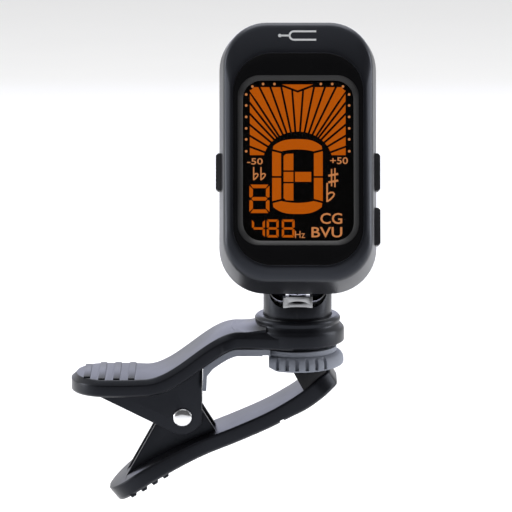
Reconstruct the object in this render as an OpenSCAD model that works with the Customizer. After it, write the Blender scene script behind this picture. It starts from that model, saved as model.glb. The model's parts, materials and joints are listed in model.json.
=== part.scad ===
// Clip-on instrument tuner: spring clip, swivelling and tilting neck, display head.
// Millimetres. +Z is up along the swivel axis, the jaws point to +X, the display faces -Y.
// The origin is where the swivel axis meets the gripping face of the upper jaw pad.

/* [Clip] */
// Width of the upper arm where it meets the collar
arm_w = 16; // [15.4:0.1:16.6]
// Thickness of the upper arm
arm_t = 3.7; // [3.4:0.1:4]
// Chamfer along the upper arm's top edges
arm_chamfer = 1.1; // [0.7:0.1:1.3]
// Height of the jaw end of the upper arm above its handle
arm_rise = 10.3; // [9.8:0.1:10.8]
// Thickness of the lower arm
jaw_t = 3.45; // [3.2:0.05:3.7]
// Width of the lower arm at the jaw
jaw_w = 15.4; // [14:0.1:16]
// Number of thumb ribs on the upper handle
thumb_ribs = 4; // [2:1:4]
// Diameter of the rivet shank
rivet_d = 2.2; // [1.8:0.1:2.4]
// Diameter of the rivet head
rivet_head_d = 4.26; // [3.8:0.1:5]
// Turns of the torsion spring
spring_turns = 4; // [3:1:4]

/* [Neck] */
// Diameter of the swivel base
swivel_d = 15; // [14.6:0.1:15]
// Outer diameter of the collar lip
lip_d = 18.8; // [18.4:0.1:19.2]
// Width of the steel hinge bracket
bracket_w = 6.4; // [6:0.1:6.6]
// Diameter of the tilt pin
tilt_pin_d = 2; // [1.6:0.1:2.2]

/* [Head] */
// Lean of the head behind the vertical, in degrees
lean = 18; // [10:1:24]
// Width of the head at the parting line
head_w = 34.2; // [33.8:0.1:34.6]
// Width of the flat face plate
plate_w = 29.26; // [28.8:0.1:29.6]
// Width of the display window
window_w = 23.9; // [23:0.1:24.2]
// Wall thickness of the housings
wall = 1.5; // [1.2:0.1:1.6]
// Travel of each side button
button_travel = 0.4; // [0.3:0.05:0.5]
// Diameter of the coin cell
cell_d = 20; // [19.6:0.1:20]

/* [Hidden] */

$fn = 64;
gap = 0.05;                     // running clearance, per side

// ---- Curves shared by the two arms ----

function smooth(t) = let (u = max(0, min(1, t))) u * u * (3 - 2 * u);
function unit(v) = v / norm(v);
function up_normal(d) = let (u = unit(d)) [-u[1], u[0]];

// Catmull-Rom curve through a list of points, n steps between neighbours
function spline(pts, n) = [
    for (k = [0 : len(pts) - 2], i = [0 : n - (k == len(pts) - 2 ? 0 : 1)])
        let (t = i / n,
             a = pts[max(0, k - 1)], b = pts[k], c = pts[k + 1],
             d = pts[min(len(pts) - 1, k + 2)])
        0.5 * ((2 * b) + (c - a) * t + (2 * a - 5 * b + 4 * c - d) * t * t
               + (3 * b - a - 3 * c + d) * t * t * t)];

// Closed skin over rings that each hold the same number of points
module skin(rings) {
    n = len(rings[0]);
    m = len(rings);
    polyhedron(
        points = [for (ring = rings) each ring],
        faces = [
            [for (i = [n - 1 : -1 : 0]) i],
            for (k = [0 : m - 2], i = [0 : n - 1])
                let (j = (i + 1) % n, p = k * n, q = p + n)
                each [[p + i, q + j, q + i], [p + i, p + j, q + j]],
            [for (i = [0 : n - 1]) (m - 1) * n + i]]);
}

// One eight-point section of a flat bar. p is a point [x, z] on the top line, u the upward
// normal there, w the half width, top_w the half width of the top face, drop the fall of the
// top face below the line, c the top chamfer, t the thickness, b the bottom chamfer.
function bar_ring(p, u, w, top_w, drop, c, t, b) = [
    for (s = [[top_w, drop], [w, c], [w, t - b], [w - b, t],
              [b - w, t], [-w, t - b], [-w, c], [-top_w, drop]])
        [p[0] - u[0] * s[1], s[0], p[1] - u[1] * s[1]]];

function line_dir(line, i) = line[min(i + 1, len(line) - 1)] - line[max(i - 1, 0)];

// Point where a tangent from p touches the circle of radius r about c, on the chosen side
function touch(c, r, p, side) =
    let (v = p - c, a = atan2(v[1], v[0]) + side * acos(r / norm(v)))
    c + r * [cos(a), sin(a)];

// A flat plate in the XZ plane between two depths
module plate_xz(pts, y0, y1) {
    translate([0, y1, 0]) rotate([90, 0, 0]) linear_extrude(y1 - y0) polygon(pts);
}

// A rod or bore along Y
module rod_y(r, x, z, y0, y1) {
    translate([x, y1, z]) rotate([90, 0, 0]) cylinder(r = r, h = y1 - y0);
}

// A rod or bore along X
module rod_x(r, y, z, x0, x1) {
    translate([x0, y, z]) rotate([0, 90, 0]) cylinder(r = r, h = x1 - x0);
}

// A block given by its two corners
module block(a, b) {
    translate(a) cube(b - a);
}

// ---- Clip geometry ----

pivot = [-25.2, -10.76];        // rivet axis, [x, z]
handle_z = -1.6;                // top of the upper handle
deck_z = handle_z + arm_rise;   // top of the upper arm at the collar
handle_end = -49.7;
handle_round = -42;             // where the handle's rounded end begins
collar_r = 10.25;
collar_base_z = 4.5;
collar_base_r = 7.6;
collar_chamfer = 1.2;
lip_z = 11.5;
pocket_z = 9.9;                // floor of the pocket that holds the swivel base
spigot_r = 2.5;
screw_pocket_r = 5.2;
screw_pocket_z = 6.9;
liner_t = 1.45;
pad_top_z = 3.35;
pad_left = -6.3;
upper_ear = [3.7, 5.5];         // inner and outer half widths
lower_ear = [2.35, 3.55];
upper_ear_r = 4;
lower_ear_r = 4.3;
ear_right = -20.95;             // right edge of the upper ears

function arm_top(x) = handle_z + arm_rise * smooth((x + 33.5) / 20.5);
function arm_point(x) = [x, arm_top(x)];
function arm_up(x) = up_normal([0.2, arm_top(x + 0.1) - arm_top(x - 0.1)]);
function arm_below(x, depth) = arm_point(x) - arm_up(x) * depth;

// Half width of the upper arm: narrow waist, wider handle, flared into the collar
function arm_half(x) =
    arm_w / 2 + smooth((-12 - x) / 7) + 0.95 * smooth((-30 - x) / 8)
    + 1.8 * smooth((x + 11) / 10);
function end_round(x, start, reach) =
    x > start ? 1 : sqrt(max(0.004, 1 - pow((start - x) / reach, 2)));

arm_xs = concat(
    [for (a = [4 : 12 : 88]) handle_round - (handle_round - handle_end) * cos(a)],
    [for (x = [-41 : 1.25 : -1]) x]);

function arm_ring(x) =
    let (reach = handle_round - handle_end, c = arm_chamfer,
         drop = max(0, c - (x - handle_end)),
         w = arm_half(x) * end_round(x, handle_round, reach),
         top_w = max(0.05, (arm_half(x) - c) * end_round(x, handle_round, reach - c)))
    bar_ring(arm_point(x), arm_up(x), w, min(top_w, w - 0.3), drop, c, arm_t, 0.3);

module thumb_ribs() {
    for (i = [0 : thumb_ribs - 1]) {
        x = -46.1 + i * 3.25;
        w = (arm_half(x) - arm_chamfer) * end_round(x, handle_round, 6.6) - 0.5;
        block([x - 0.7, -w, handle_z - 0.5], [x + 0.7, w, handle_z + 0.35]);
    }
}

module upper_ears() {
    foot = [-46.3, -4.7];
    top = [for (x = [-45 : 3.9 : -21]) arm_below(x, arm_t * 0.6)];
    left = touch(pivot, upper_ear_r, foot, 1);
    corner = [ear_right, pivot[1] - 1.4];
    outline = concat([foot], top, [[ear_right, arm_below(ear_right, arm_t * 0.6)[1]], corner,
                                   touch(pivot, upper_ear_r, corner, -1), pivot, left]);
    for (s = [0, 1]) mirror([0, s, 0]) {
        plate_xz(outline, upper_ear[0], upper_ear[1]);
        rod_y(upper_ear_r, pivot[0], pivot[1], upper_ear[0], upper_ear[1]);
    }
    // cross wall that ties the ears together behind the jaw
    block([ear_right - 1, -upper_ear[0] - 0.2, -6.1],
          [ear_right - 0.12, upper_ear[0] + 0.2, 1.8]);
}

module collar() {
    rotate_extrude() polygon([
        [0, collar_base_z], [collar_base_r, collar_base_z],
        [collar_r, collar_base_z + collar_chamfer],
        [collar_r, deck_z - 0.1], [collar_r - 0.4, deck_z + 0.6], [lip_d / 2 - 0.25, 9.8],
        [lip_d / 2 - 0.1, 10.2], [lip_d / 2, 10.5], [lip_d / 2, 10.8],
        [lip_d / 2 - 0.2, 11.2], [lip_d / 2 - 0.6, lip_z], [0, lip_z]]);
}

module upper_arm() {
    color("#33353b") difference() {
        union() {
            skin([for (x = arm_xs) arm_ring(x)]);
            thumb_ribs();
            upper_ears();
            collar();
        }
        rod_y(rivet_d / 2 + 0.02, pivot[0], pivot[1], -8, 8);
        translate([0, 0, pocket_z]) cylinder(d = swivel_d + 0.2, h = 4);
        translate([0, 0, 3]) cylinder(r = spigot_r + gap, h = 9);
        translate([0, 0, 3]) cylinder(r = screw_pocket_r, h = screw_pocket_z - 3);
    }
}

// ---- Rubber parts of the jaws ----

module jaw_liner() {
    skin_gap = 0.02;
    top = [for (x = [-22.9 : 1.2 : -8]) arm_below(x, arm_t + skin_gap)];
    bottom = [for (x = [-8.4 : -1.2 : -22]) arm_below(x, arm_t + liner_t)];
    hook = [[-19.85, -1], [-19.95, -4], [-20.1, -4.25], [-20.7, -4.25], [-20.8, -4]];
    color("#6d727d") difference() {
        union() {
            intersection() {
                plate_xz(concat(top, [[-4, deck_z - arm_t - skin_gap], [-4, 3.5]], bottom, hook), -8, 8);
                block([ear_right + skin_gap, -8, -6], [-6, 8, 6]);
            }
            translate([0, 0, pad_top_z]) cylinder(r = 8.6, h = collar_base_z - pad_top_z - 0.02);
        }
        // shallow relief beside the pad
        block([-7.7, -9, 2], [pad_left, 9, 3.75]);
        // seat of the collar's chamfered base
        translate([0, 0, collar_base_z - skin_gap])
            cylinder(r1 = collar_base_r + skin_gap, r2 = collar_r + skin_gap, h = collar_chamfer);
        translate([0, 0, collar_base_z + collar_chamfer - 2 * skin_gap])
            cylinder(r = collar_r + skin_gap, h = 3);
        translate([0, 0, 3]) cylinder(r = screw_pocket_r, h = 4);
    }
}

module upper_jaw_pad() {
    pad_r = 10.15;
    color("#7d828d") difference() {
        intersection() {
            rotate_extrude() polygon([
                [0, 0], [8.8, 0], [9.4, 0.1], [9.85, 0.35], [pad_r, 0.8], [pad_r, 1.9],
                [9.95, 2.4], [9.7, 2.8], [9.2, 3.1], [8.6, pad_top_z - 0.02],
                [0, pad_top_z - 0.02]]);
            plate_xz([[pad_left, 4], [pad_left, 1.1], [-4.3, 0.12], [-3.4, -1], [12, -1],
                      [12, 4]], -11, 11);
        }
        for (i = [0 : 5], s = [-1, 1])
            let (a = s * (90 + 26 - i * 12.6))
            translate([(pad_r + 0.05) * cos(a), (pad_r + 0.05) * sin(a), 0.55])
                cylinder(r = 0.45, h = 4, $fn = 24);
    }
}

// ---- Lower arm ----

jaw_line = spline([[-41.4, -27.4], [-38, -24.65], [-34.5, -22.1], [-28, -18.55],
                   [-21, -15.35], [-14, -12.5], [-7, -9.35], [-2, -6.5],
                   [1.3, -4.25], [4, -2.15], [6.3, -0.55]], 4);
jaw_start = -35;
jaw_tip = 3;

function jaw_half(x) =
    jaw_w / 2 + 1.6 * smooth((-20 - x) / 15);
function jaw_thick(x) = jaw_t + 0.2 * smooth((-20 - x) / 12) + 0.5 * smooth((x + 5) / 6)
    - 0.25 * smooth((x - 3) / 4);
function jaw_round(x) =
    end_round(x, jaw_start, 6.6) * (x < jaw_tip ? 1 : sqrt(1 - pow((x - jaw_tip) / 5, 2)));

function jaw_ring(i) =
    let (p = jaw_line[i], u = up_normal(line_dir(jaw_line, i)), t = jaw_thick(p[0]),
         w = jaw_half(p[0]) * jaw_round(p[0]))
    bar_ring(p, u, w, w - 0.3, 0, 0.3, t, 0.5);

function jaw_below(i, depth) = jaw_line[i] - up_normal(line_dir(jaw_line, i)) * depth;

module lower_ears() {
    left_foot = [-38, -24.95];
    right_foot = [-17.6, -14.8];
    base = [for (i = [23 : -4 : 3]) jaw_below(i, jaw_t * 0.45)];
    in_reach = [for (p = base) if (p[0] > left_foot[0] && p[0] < right_foot[0]) p];
    outline = concat([touch(pivot, lower_ear_r, right_foot, 1), right_foot], in_reach,
                     [left_foot, touch(pivot, lower_ear_r, left_foot, -1), pivot]);
    for (s = [0, 1]) mirror([0, s, 0]) {
        plate_xz(outline, lower_ear[0], lower_ear[1]);
        rod_y(lower_ear_r, pivot[0], pivot[1], lower_ear[0], lower_ear[1]);
    }
}

// Four grip steps across the outer face of the lower handle
module finger_ribs() {
    pitch = 2.75;
    rib_h = 0.48;
    rib_inset = 1.2;
    start = jaw_below(3, jaw_thick(-38) - 0.3);
    slope = atan2(-22.3 + 27.6, -28.6 + 37.4);
    for (i = [0 : 3])
        let (x = start[0] + 0.2 + i * pitch * cos(slope),
             w = jaw_half(x) * jaw_round(x) - rib_inset)
        translate([x, 0, start[1] + i * pitch * sin(slope)]) rotate([0, -slope, 0])
            plate_xz([[0, 0.4], [0.1, -rib_h], [1.3, -rib_h], [1.5, 0.4]], -w, w);
}

module lower_arm() {
    color("#303238") difference() {
        union() {
            skin([for (i = [0 : len(jaw_line) - 1]) jaw_ring(i)]);
            lower_ears();
            finger_ribs();
        }
        rod_y(rivet_d / 2 + gap, pivot[0], pivot[1], -8, 8);
        // mould notch in the outer face
        translate([-3.4, 0, -11.2]) rotate([0, -24, 0]) block([-0.5, -9, -0.6], [0.5, 9, 0.35]);
    }
}

module lower_jaw_pad() {
    lift = 0.03;
    face = [for (i = [0 : 4 : 8]) jaw_line[len(jaw_line) - 9 + i]
            + up_normal(line_dir(jaw_line, len(jaw_line) - 9 + i)) * lift];
    color("#1b1c1f") intersection() {
        plate_xz(concat(face, [[6.1, -0.02], [-0.9, -0.02], [-0.8, -0.5]]), -7.5, 7.5);
        translate([1.2, 0, -6]) cylinder(r = 7.5, h = 8);
    }
}

module pivot_rivet() {
    cap_h = 0.85;
    cap_r = rivet_head_d / 2;
    ball_r = (cap_r * cap_r + cap_h * cap_h) / (2 * cap_h);
    color("#d7dade") {
        rod_y(rivet_d / 2, pivot[0], pivot[1], -upper_ear[1] - 0.1, upper_ear[1] + 0.1);
        for (s = [0, 1]) mirror([0, s, 0]) intersection() {
            translate([pivot[0], upper_ear[1] + 0.02 + cap_h - ball_r, pivot[1]])
                sphere(r = ball_r);
            rod_y(cap_r + 1, pivot[0], pivot[1], upper_ear[1] + 0.02, upper_ear[1] + 2);
        }
    }
}

// Torsion spring: two straight legs joined by a coil about the rivet
module torsion_spring() {
    wire_r = 0.38;
    coil_r = 2.15;
    half = 1.75;
    a0 = 35;                    // where the upper leg leaves the coil
    sweep = 360 * (spring_turns - 1) + 75;
    coil = [for (a = [0 : 15 : sweep])
            [pivot[0] + coil_r * cos(a0 - a), half - 2 * half * a / sweep,
             pivot[1] + coil_r * sin(a0 - a)]];
    function tangent_at(a) = [sin(a), 0, -cos(a)];
    upper_leg = [for (d = [6.3, 3.6, 1.2]) coil[0] - tangent_at(a0) * d];
    last = a0 - floor(sweep / 15) * 15;
    lower_leg = [for (d = [1.2, 4, 7.7]) coil[len(coil) - 1] + tangent_at(last) * d];
    path = concat(upper_leg, coil, lower_leg);
    color("#b9bdc2") skin([for (i = [0 : len(path) - 1])
        let (d = unit(path[min(i + 1, len(path) - 1)] - path[max(i - 1, 0)]),
             side = unit(cross(d, [0, 1, 0])), rise = cross(side, d))
        [for (k = [0 : 7]) path[i] + wire_r * (side * cos(k * 45) + rise * sin(k * 45))]]);
}

// ---- Neck ----

hinge_z = 20;                   // height of the tilt axis
cut_half = 6.27;                // half width of the clevis slot in the swivel base
cut_floor = 14.1;
cut_corner = 3;
cheek_z = 17.3;
sheet = 0.5;                    // thickness of the bracket's steel
base_foot = pocket_z + 0.35;
spigot_end = screw_pocket_z - 0.05;

module swivel_base() {
    inner = cut_half - cut_corner;
    color("#2f3136") difference() {
        union() {
            translate([0, 0, base_foot]) cylinder(d = swivel_d, h = cheek_z - base_foot);
            translate([0, 0, spigot_end]) cylinder(r = spigot_r, h = base_foot - spigot_end + 1);
        }
        for (s = [-1, 1]) rod_y(cut_corner, s * inner, cut_floor + cut_corner, -9, 9);
        block([-inner, -9, cut_floor], [inner, 9, 20]);
        block([-cut_half, -9, cut_floor + cut_corner], [cut_half, 9, 20]);
        translate([0, 0, spigot_end - 1]) cylinder(r = 0.8, h = 4);
        translate([0, 0.8, cut_floor - 2.6]) cylinder(r = 0.8, h = 4);
    }
}

module friction_ring() {
    color("#c9c3b2") translate([0, 0, pocket_z + 0.02]) difference() {
        cylinder(r = 7.2, h = 0.3);
        translate([0, 0, -1]) cylinder(r = 3, h = 3);
    }
}

module swivel_washer() {
    color("#c4c7cb") translate([0, 0, spigot_end - 0.5]) difference() {
        cylinder(r = 4.4, h = 0.48);
        translate([0, 0, -1]) cylinder(r = 1.1, h = 3);
    }
}

module cross_screw(head_r, head_h, shank_r, shank_l) {
    difference() {
        union() {
            cylinder(r = head_r, h = head_h);
            translate([0, 0, -shank_l]) cylinder(r = shank_r, h = shank_l + 0.1);
        }
        for (a = [0, 90]) rotate([0, 0, a])
            block([-head_r * 0.6, -0.18, head_h * 0.45], [head_r * 0.6, 0.18, head_h + 1]);
    }
}

module swivel_screw() {
    color("#c4c7cb") translate([0, 0, spigot_end - 0.52]) mirror([0, 0, 1])
        cross_screw(2, 1.1, 0.78, 3);
}

module hinge_bracket() {
    half = bracket_w / 2;
    front = -7;
    lens_r = 6.1;
    lens_z = 15.3;
    ear = [[front, cut_floor + 0.02], [front, 16.6], [-4.2, 17.6], [-2.6, 19.6], [-2.6, hinge_z],
           [0, hinge_z], [2.6, hinge_z], [3.2, cut_floor + 0.02]];
    color("#cfd2d6") difference() {
        union() {
            block([-half, front, cut_floor + 0.02], [half, 3.2, cut_floor + sheet]);
            block([-half, front, cut_floor + 0.02], [half, front + sheet, 16.6]);
            for (x = [-half, half - sheet]) {
                translate([x, 0, 0]) rotate([90, 0, 90]) linear_extrude(sheet) polygon(ear);
                rod_x(2.6, 0, hinge_z, x, x + sheet);
            }
        }
        rod_x(tilt_pin_d / 2 + 0.02, 0, hinge_z, -9, 9);
        translate([0, 0.8, cut_floor - 1]) cylinder(r = 1.05, h = 3);
        // lens-shaped slot in the front wall
        intersection() for (s = [-1, 1])
            rod_y(lens_r, 0, lens_z + s * (lens_r - 0.27), front - 1, front + 1);
    }
}

module bracket_screw() {
    color("#c4c7cb") translate([0, 0.8, cut_floor + sheet + 0.02])
        cross_screw(1.9, 1, 0.78, 2.4);
}

module tilt_pin() {
    half = bracket_w / 2;
    color("#d7dade") {
        rod_x(tilt_pin_d / 2, 0, hinge_z, -half - 0.4, half + 0.4);
        for (s = [-1, 1]) rod_x(1.5, 0, hinge_z, s < 0 ? -half - 0.6 : half + 0.02,
                                s < 0 ? -half - 0.02 : half + 0.6);
    }
}

// ---- Head, in its own frame: x across, y from front (negative) to back, z up along it,
//      with the tilt axis as its x axis ----

plate_y = -18.6;                // face of the flat plate
rim_y = -17.45;                 // outer edge of the bevel
part_y = -8.45;                 // parting line of the two housings
back_y = -4.25;
plate_z = [-0.65, 46.9];
rim_z = [-3.2, 53.15];
part_z = [-5.06, 54.03];
part_corner = 10;               // corner radius of the parting outline
rim_corner = 9.4;
window_z = [5.4, 40.25];
lcd_half = 12.9;
lcd_z = [3.6, 42];
lcd_y = [-16.8, -14.9];
lcd_corner = 0.8;
board_half = 12.9;
board_y = [-12.7, -11.5];
board_z = [4, 43];
button_y = -11;
knuckle_r = 4.2;                // between the bracket's ears
drum_clear = 0.25;              // between the hinge drum and the swivel base
door_r = 11.5;
cell_z = 22.4;

module in_head() {
    translate([0, 0, hinge_z]) rotate([-lean, 0, 0]) children();
}

// Rounded rectangle as a loop of [x, z] points, its long sides bowed out a little
function outline(half, z, r, bow) =
    let (mid = (z[0] + z[1]) / 2, tall = (z[1] - z[0]) / 2)
    [for (q = [0 : 3], i = [0 : 7])
        let (a = q * 90 + i * 90 / 7,
             x = (q == 0 || q == 3 ? 1 : -1) * (half - r) + r * cos(a),
             h = (q < 2 ? 1 : -1) * (tall - r) + r * sin(a))
        [x * (1 + bow * (1 - pow(h / tall, 2))), mid + h]];
function at_depth(loop, y) = [for (p = loop) [p[0], y, p[1]]];

module slab(half, z, r, y0, y1) {
    plate_xz(outline(half, z, r, 0), y0, y1);
}

screw_places = [for (x = [-9.5, 9.5], z = [0.2, 48.4]) [x, z]];

module front_housing() {
    rim = head_w / 2 - 1;
    color("#3a3c42") in_head() difference() {
        union() {
            difference() {
                skin([at_depth(outline(plate_w / 2, plate_z, 9, 0), plate_y),
                      at_depth(outline(rim, rim_z, rim_corner, 0.004), rim_y),
                      at_depth(outline(head_w / 2 - 0.05, part_z, part_corner, 0.004), part_y)]);
                skin([at_depth(outline(rim - wall - 0.2, [-1.4, 51.2], rim_corner - wall, 0), -16.3),
                      at_depth(outline(head_w / 2 - wall, [-3.4, 52.5], part_corner - wall, 0), part_y + 1)]);
            }
            for (p = screw_places) rod_y(2, p[0], p[1], -16.6, part_y - 0.1);
        }
        // seat and opening behind the face plate
        slab(plate_w / 2 - 0.6, [0, 46.2], 8.4, plate_y - 1, plate_y + 0.9);
        slab(window_w / 2 + 1.2, [3.8, 41.8], 4.6, -19, -15);
        slab(lcd_half + gap, lcd_z + [-gap, gap], lcd_corner, lcd_y[0] - gap, -15);
        for (p = screw_places) rod_y(0.8, p[0], p[1], -15, 0);
        for (b = button_places) button_slot(b);
    }
}

module face_plate() {
    color("#141417") in_head() difference() {
        slab(plate_w / 2 - 0.65, [0.05, 46.15], 8.35, plate_y, plate_y + 0.88);
        slab(window_w / 2, window_z, 4, plate_y - 1, plate_y + 2);
    }
}

module display_lens() {
    color("#20242a", 0.5) in_head()
        slab(window_w / 2 + 1.1, [3.9, 41.7], 4.5, plate_y + 0.9, plate_y + 1.7);
}

module lcd_panel() {
    color("#16110c") in_head() slab(lcd_half, lcd_z, lcd_corner, lcd_y[0], lcd_y[1]);
}

module light_guide() {
    color("#e9dcc0") in_head() slab(12.2, [6.2, 39.6], 0.8, -14.85, -13.2);
}

module elastomer_strips() {
    color("#c8c8c8") in_head() for (z = [4, 40.2])
        block([-11.5, -14.88, z], [11.5, board_y[0] - 0.02, z + 1.6]);
}

module backlight_leds() {
    color("#ffb060") in_head() for (s = [0, 1]) mirror([s, 0, 0])
        block([12.25, -14.3, 21], [board_half, board_y[0] - 0.02, 24]);
}

module main_board() {
    color("#1f5b3a") in_head() difference() {
        slab(board_half, board_z, 1.5, board_y[0], board_y[1]);
        for (x = [-1, 1], z = [5.4, 41.6]) rod_y(0.6, x * (board_half - 1.3), z, -14, -10);
    }
}

module controller_chip() {
    color("#1a1a1c") in_head() block([-4, board_y[1] + 0.02, 5], [4, board_y[1] + 1.3, 10.5]);
}

// Buttons: [side, lowest z, highest z]
button_places = [[-1, 17, 25.2], [1, 17, 25.2], [1, 5.1, 13.3]];
button_face = 17.85;            // outer face of a button, from the head's centre plane

module button_slot(b) {
    mid = (b[1] + b[2]) / 2;
    h = (b[2] - b[1]) / 2;
    translate([b[0] * 16, button_y, mid])
        block([-3, -1.3 - gap, -h - gap], [3, 1.3 + gap, h + gap]);
}

module side_button(b) {
    h = (b[2] - b[1]) / 2;
    mid = (b[1] + b[2]) / 2;
    color("#26272b") in_head() translate([0, button_y, mid]) mirror([b[0] < 0 ? 1 : 0, 0, 0]) {
        difference() {
            block([14.2, -1.3, -h], [button_face, 1.3, h]);
            for (s = [-1, 1]) translate([button_face, 0, s * h]) rotate([0, 45, 0])
                cube([0.9, 4, 0.9], center = true);
        }
        // retaining flange and the pin that presses the switch
        block([14.2 - 0.8, -1.9, -h - 0.7], [14.25, 1.9, h + 0.7]);
        block([13.35, -0.6, -1.1], [13.6, 0.6, 1.1]);
    }
}

module power_button() { side_button(button_places[0]); }
module mode_button() { side_button(button_places[1]); }
module pitch_button() { side_button(button_places[2]); }

module side_switches() {
    color("#b9bdc2") in_head() for (b = button_places) {
        mid = (b[1] + b[2]) / 2;
        mirror([b[0] < 0 ? 1 : 0, 0, 0]) {
            block([9.6, board_y[1] + 0.02, mid - 2.2], [12.4, board_y[1] + 1.6, mid + 2.2]);
            block([12.3, board_y[1] + 0.2, mid - 0.8],
                  [13.3 - button_travel, board_y[1] + 1.2, mid + 0.8]);
        }
    }
}

module contact_negative() {
    color("#c9ccd0") in_head() {
        block([-2, -10.2, 12.6], [2, -9.95, 31]);
        block([-2, board_y[1] + 0.02, 30.75], [2, -9.95, 31]);
        rod_y(1.6, 0, cell_z, -9.97, -9.6);
    }
}

module contact_positive() {
    color("#c9ccd0") in_head() {
        block([-2.5, -11.2, 33.1], [2.5, -6.6, 33.35]);
        block([-2.5, board_y[1] + 0.02, 33.1], [2.5, -11.2, 35]);
    }
}

module coin_cell() {
    color("#d3d6da") in_head() {
        rod_y(cell_d / 2, 0, cell_z, -8.9, -5.95);
        rod_y(cell_d / 2 - 1.6, 0, cell_z, -9.55, -8.85);
    }
}

module vibration_sensor() {
    color("#c9a24a") in_head() {
        rod_y(4.6, 0, 4.6, -6.4, -6.15);
        rod_y(3.4, 0, 4.6, -6.65, -6.35);
    }
}

// Drum that fills the clevis slot beside the bracket; its shoulder follows the slot's corner
module hinge_drum() {
    inner = cut_half - cut_corner;
    end_gap = 0.15;
    xs = [bracket_w / 2 + 0.08, 4.2, 4.8, 5.3, 5.7, cut_half - end_gap];
    function drum_r(x) = hinge_z - cut_floor - cut_corner - drum_clear
        + sqrt(pow(cut_corner, 2) - pow(max(0, x - inner), 2));
    rotate([0, 90, 0]) rotate_extrude() polygon(concat(
        [[0, xs[0]]], [for (x = xs) [drum_r(x), x]], [[0, xs[len(xs) - 1]]]));
}

module rear_housing() {
    half = head_w / 2;
    ear_sweep_r = 7.9;
    knuckle_half = bracket_w / 2 - sheet - gap;
    color("#34363b") in_head() difference() {
        union() {
            difference() {
                skin([at_depth(outline(half, part_z, part_corner, 0.004), part_y + 0.02),
                      at_depth(outline(half - 0.7, [-4.3, 53.3], part_corner - 0.6, 0.004), -6.2),
                      at_depth(outline(half - 1.8, [-3, 52], part_corner - 1.4, 0.002), back_y)]);
                skin([at_depth(outline(half - wall, [-3.4, 52.5], part_corner - wall, 0), part_y - 1),
                      at_depth(outline(half - wall - 1.3, [-2, 51], part_corner - wall - 0.7, 0),
                               back_y - wall)]);
            }
            for (p = screw_places) rod_y(2, p[0], p[1], part_y + 0.1, -5);
            // wall round the cell
            difference() {
                rod_y(door_r + 1, 0, cell_z, part_y + 0.1, back_y - 0.5);
                rod_y(cell_d / 2 + 0.4, 0, cell_z, -10, 0);
                block([-3, -10, 32], [3, -5.5, 35]);
            }
            // hinge knuckle between the bracket's ears, and a drum on each side of them
            rod_x(knuckle_r, 0, 0, -knuckle_half, knuckle_half);
            for (s = [0, 1]) mirror([s, 0, 0]) hinge_drum();
            // web that joins the centre knuckle to the back wall
            block([-knuckle_half, back_y - wall + 0.2, 0], [knuckle_half, 0, knuckle_r - 0.3]);
        }
        rod_x(tilt_pin_d / 2 + gap, 0, 0, -9, 9);
        // room for the pin's heads
        rod_x(1.6, 0, 0, -bracket_w / 2 - 0.7, bracket_w / 2 + 0.7);
        rod_y(door_r + gap, 0, cell_z, back_y - 1.35, 0);
        rod_y(cell_d / 2 + 0.4, 0, cell_z, back_y - wall - 0.5, 0);
        // room for the bracket's ears and front wall as the head tilts
        for (s = [-1, 1]) translate([s * (bracket_w / 2 - sheet / 2), 0, 0])
            rod_x(ear_sweep_r, 0, 0, -sheet / 2 - gap, sheet / 2 + gap);
        block([-3.5, -8.4, -6], [3.5, -5.9, -2.4]);
        for (p = screw_places) {
            rod_y(0.95, p[0], p[1], -9, 0);
            rod_y(1.7, p[0], p[1], -5.3, 0);
        }
    }
}

module housing_screws() {
    color("#b9bdc2") in_head() for (p = screw_places)
        translate([p[0], -5.28, p[1]]) rotate([-90, 0, 0]) cross_screw(1.6, 0.9, 0.75, 8);
}

module battery_door() {
    color("#34363b") in_head() difference() {
        union() {
            rod_y(door_r - gap, 0, cell_z, back_y - 1.3, back_y);
            rod_y(cell_d / 2, 0, cell_z, back_y - 1.6, back_y - 1.2);
        }
        // coin slot
        block([-5, back_y - 0.7, cell_z - 0.8], [5, back_y + 1, cell_z + 0.8]);
    }
}

upper_arm();
jaw_liner();
upper_jaw_pad();
lower_arm();
lower_jaw_pad();
pivot_rivet();
torsion_spring();
swivel_base();
friction_ring();
swivel_washer();
swivel_screw();
hinge_bracket();
bracket_screw();
tilt_pin();
front_housing();
face_plate();
display_lens();
lcd_panel();
light_guide();
elastomer_strips();
backlight_leds();
main_board();
controller_chip();
side_switches();
power_button();
mode_button();
pitch_button();
contact_negative();
contact_positive();
coin_cell();
vibration_sensor();
rear_housing();
housing_screws();
battery_door();
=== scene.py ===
import json
import math

import bmesh
import bpy
from mathutils import Matrix, Vector


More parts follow.
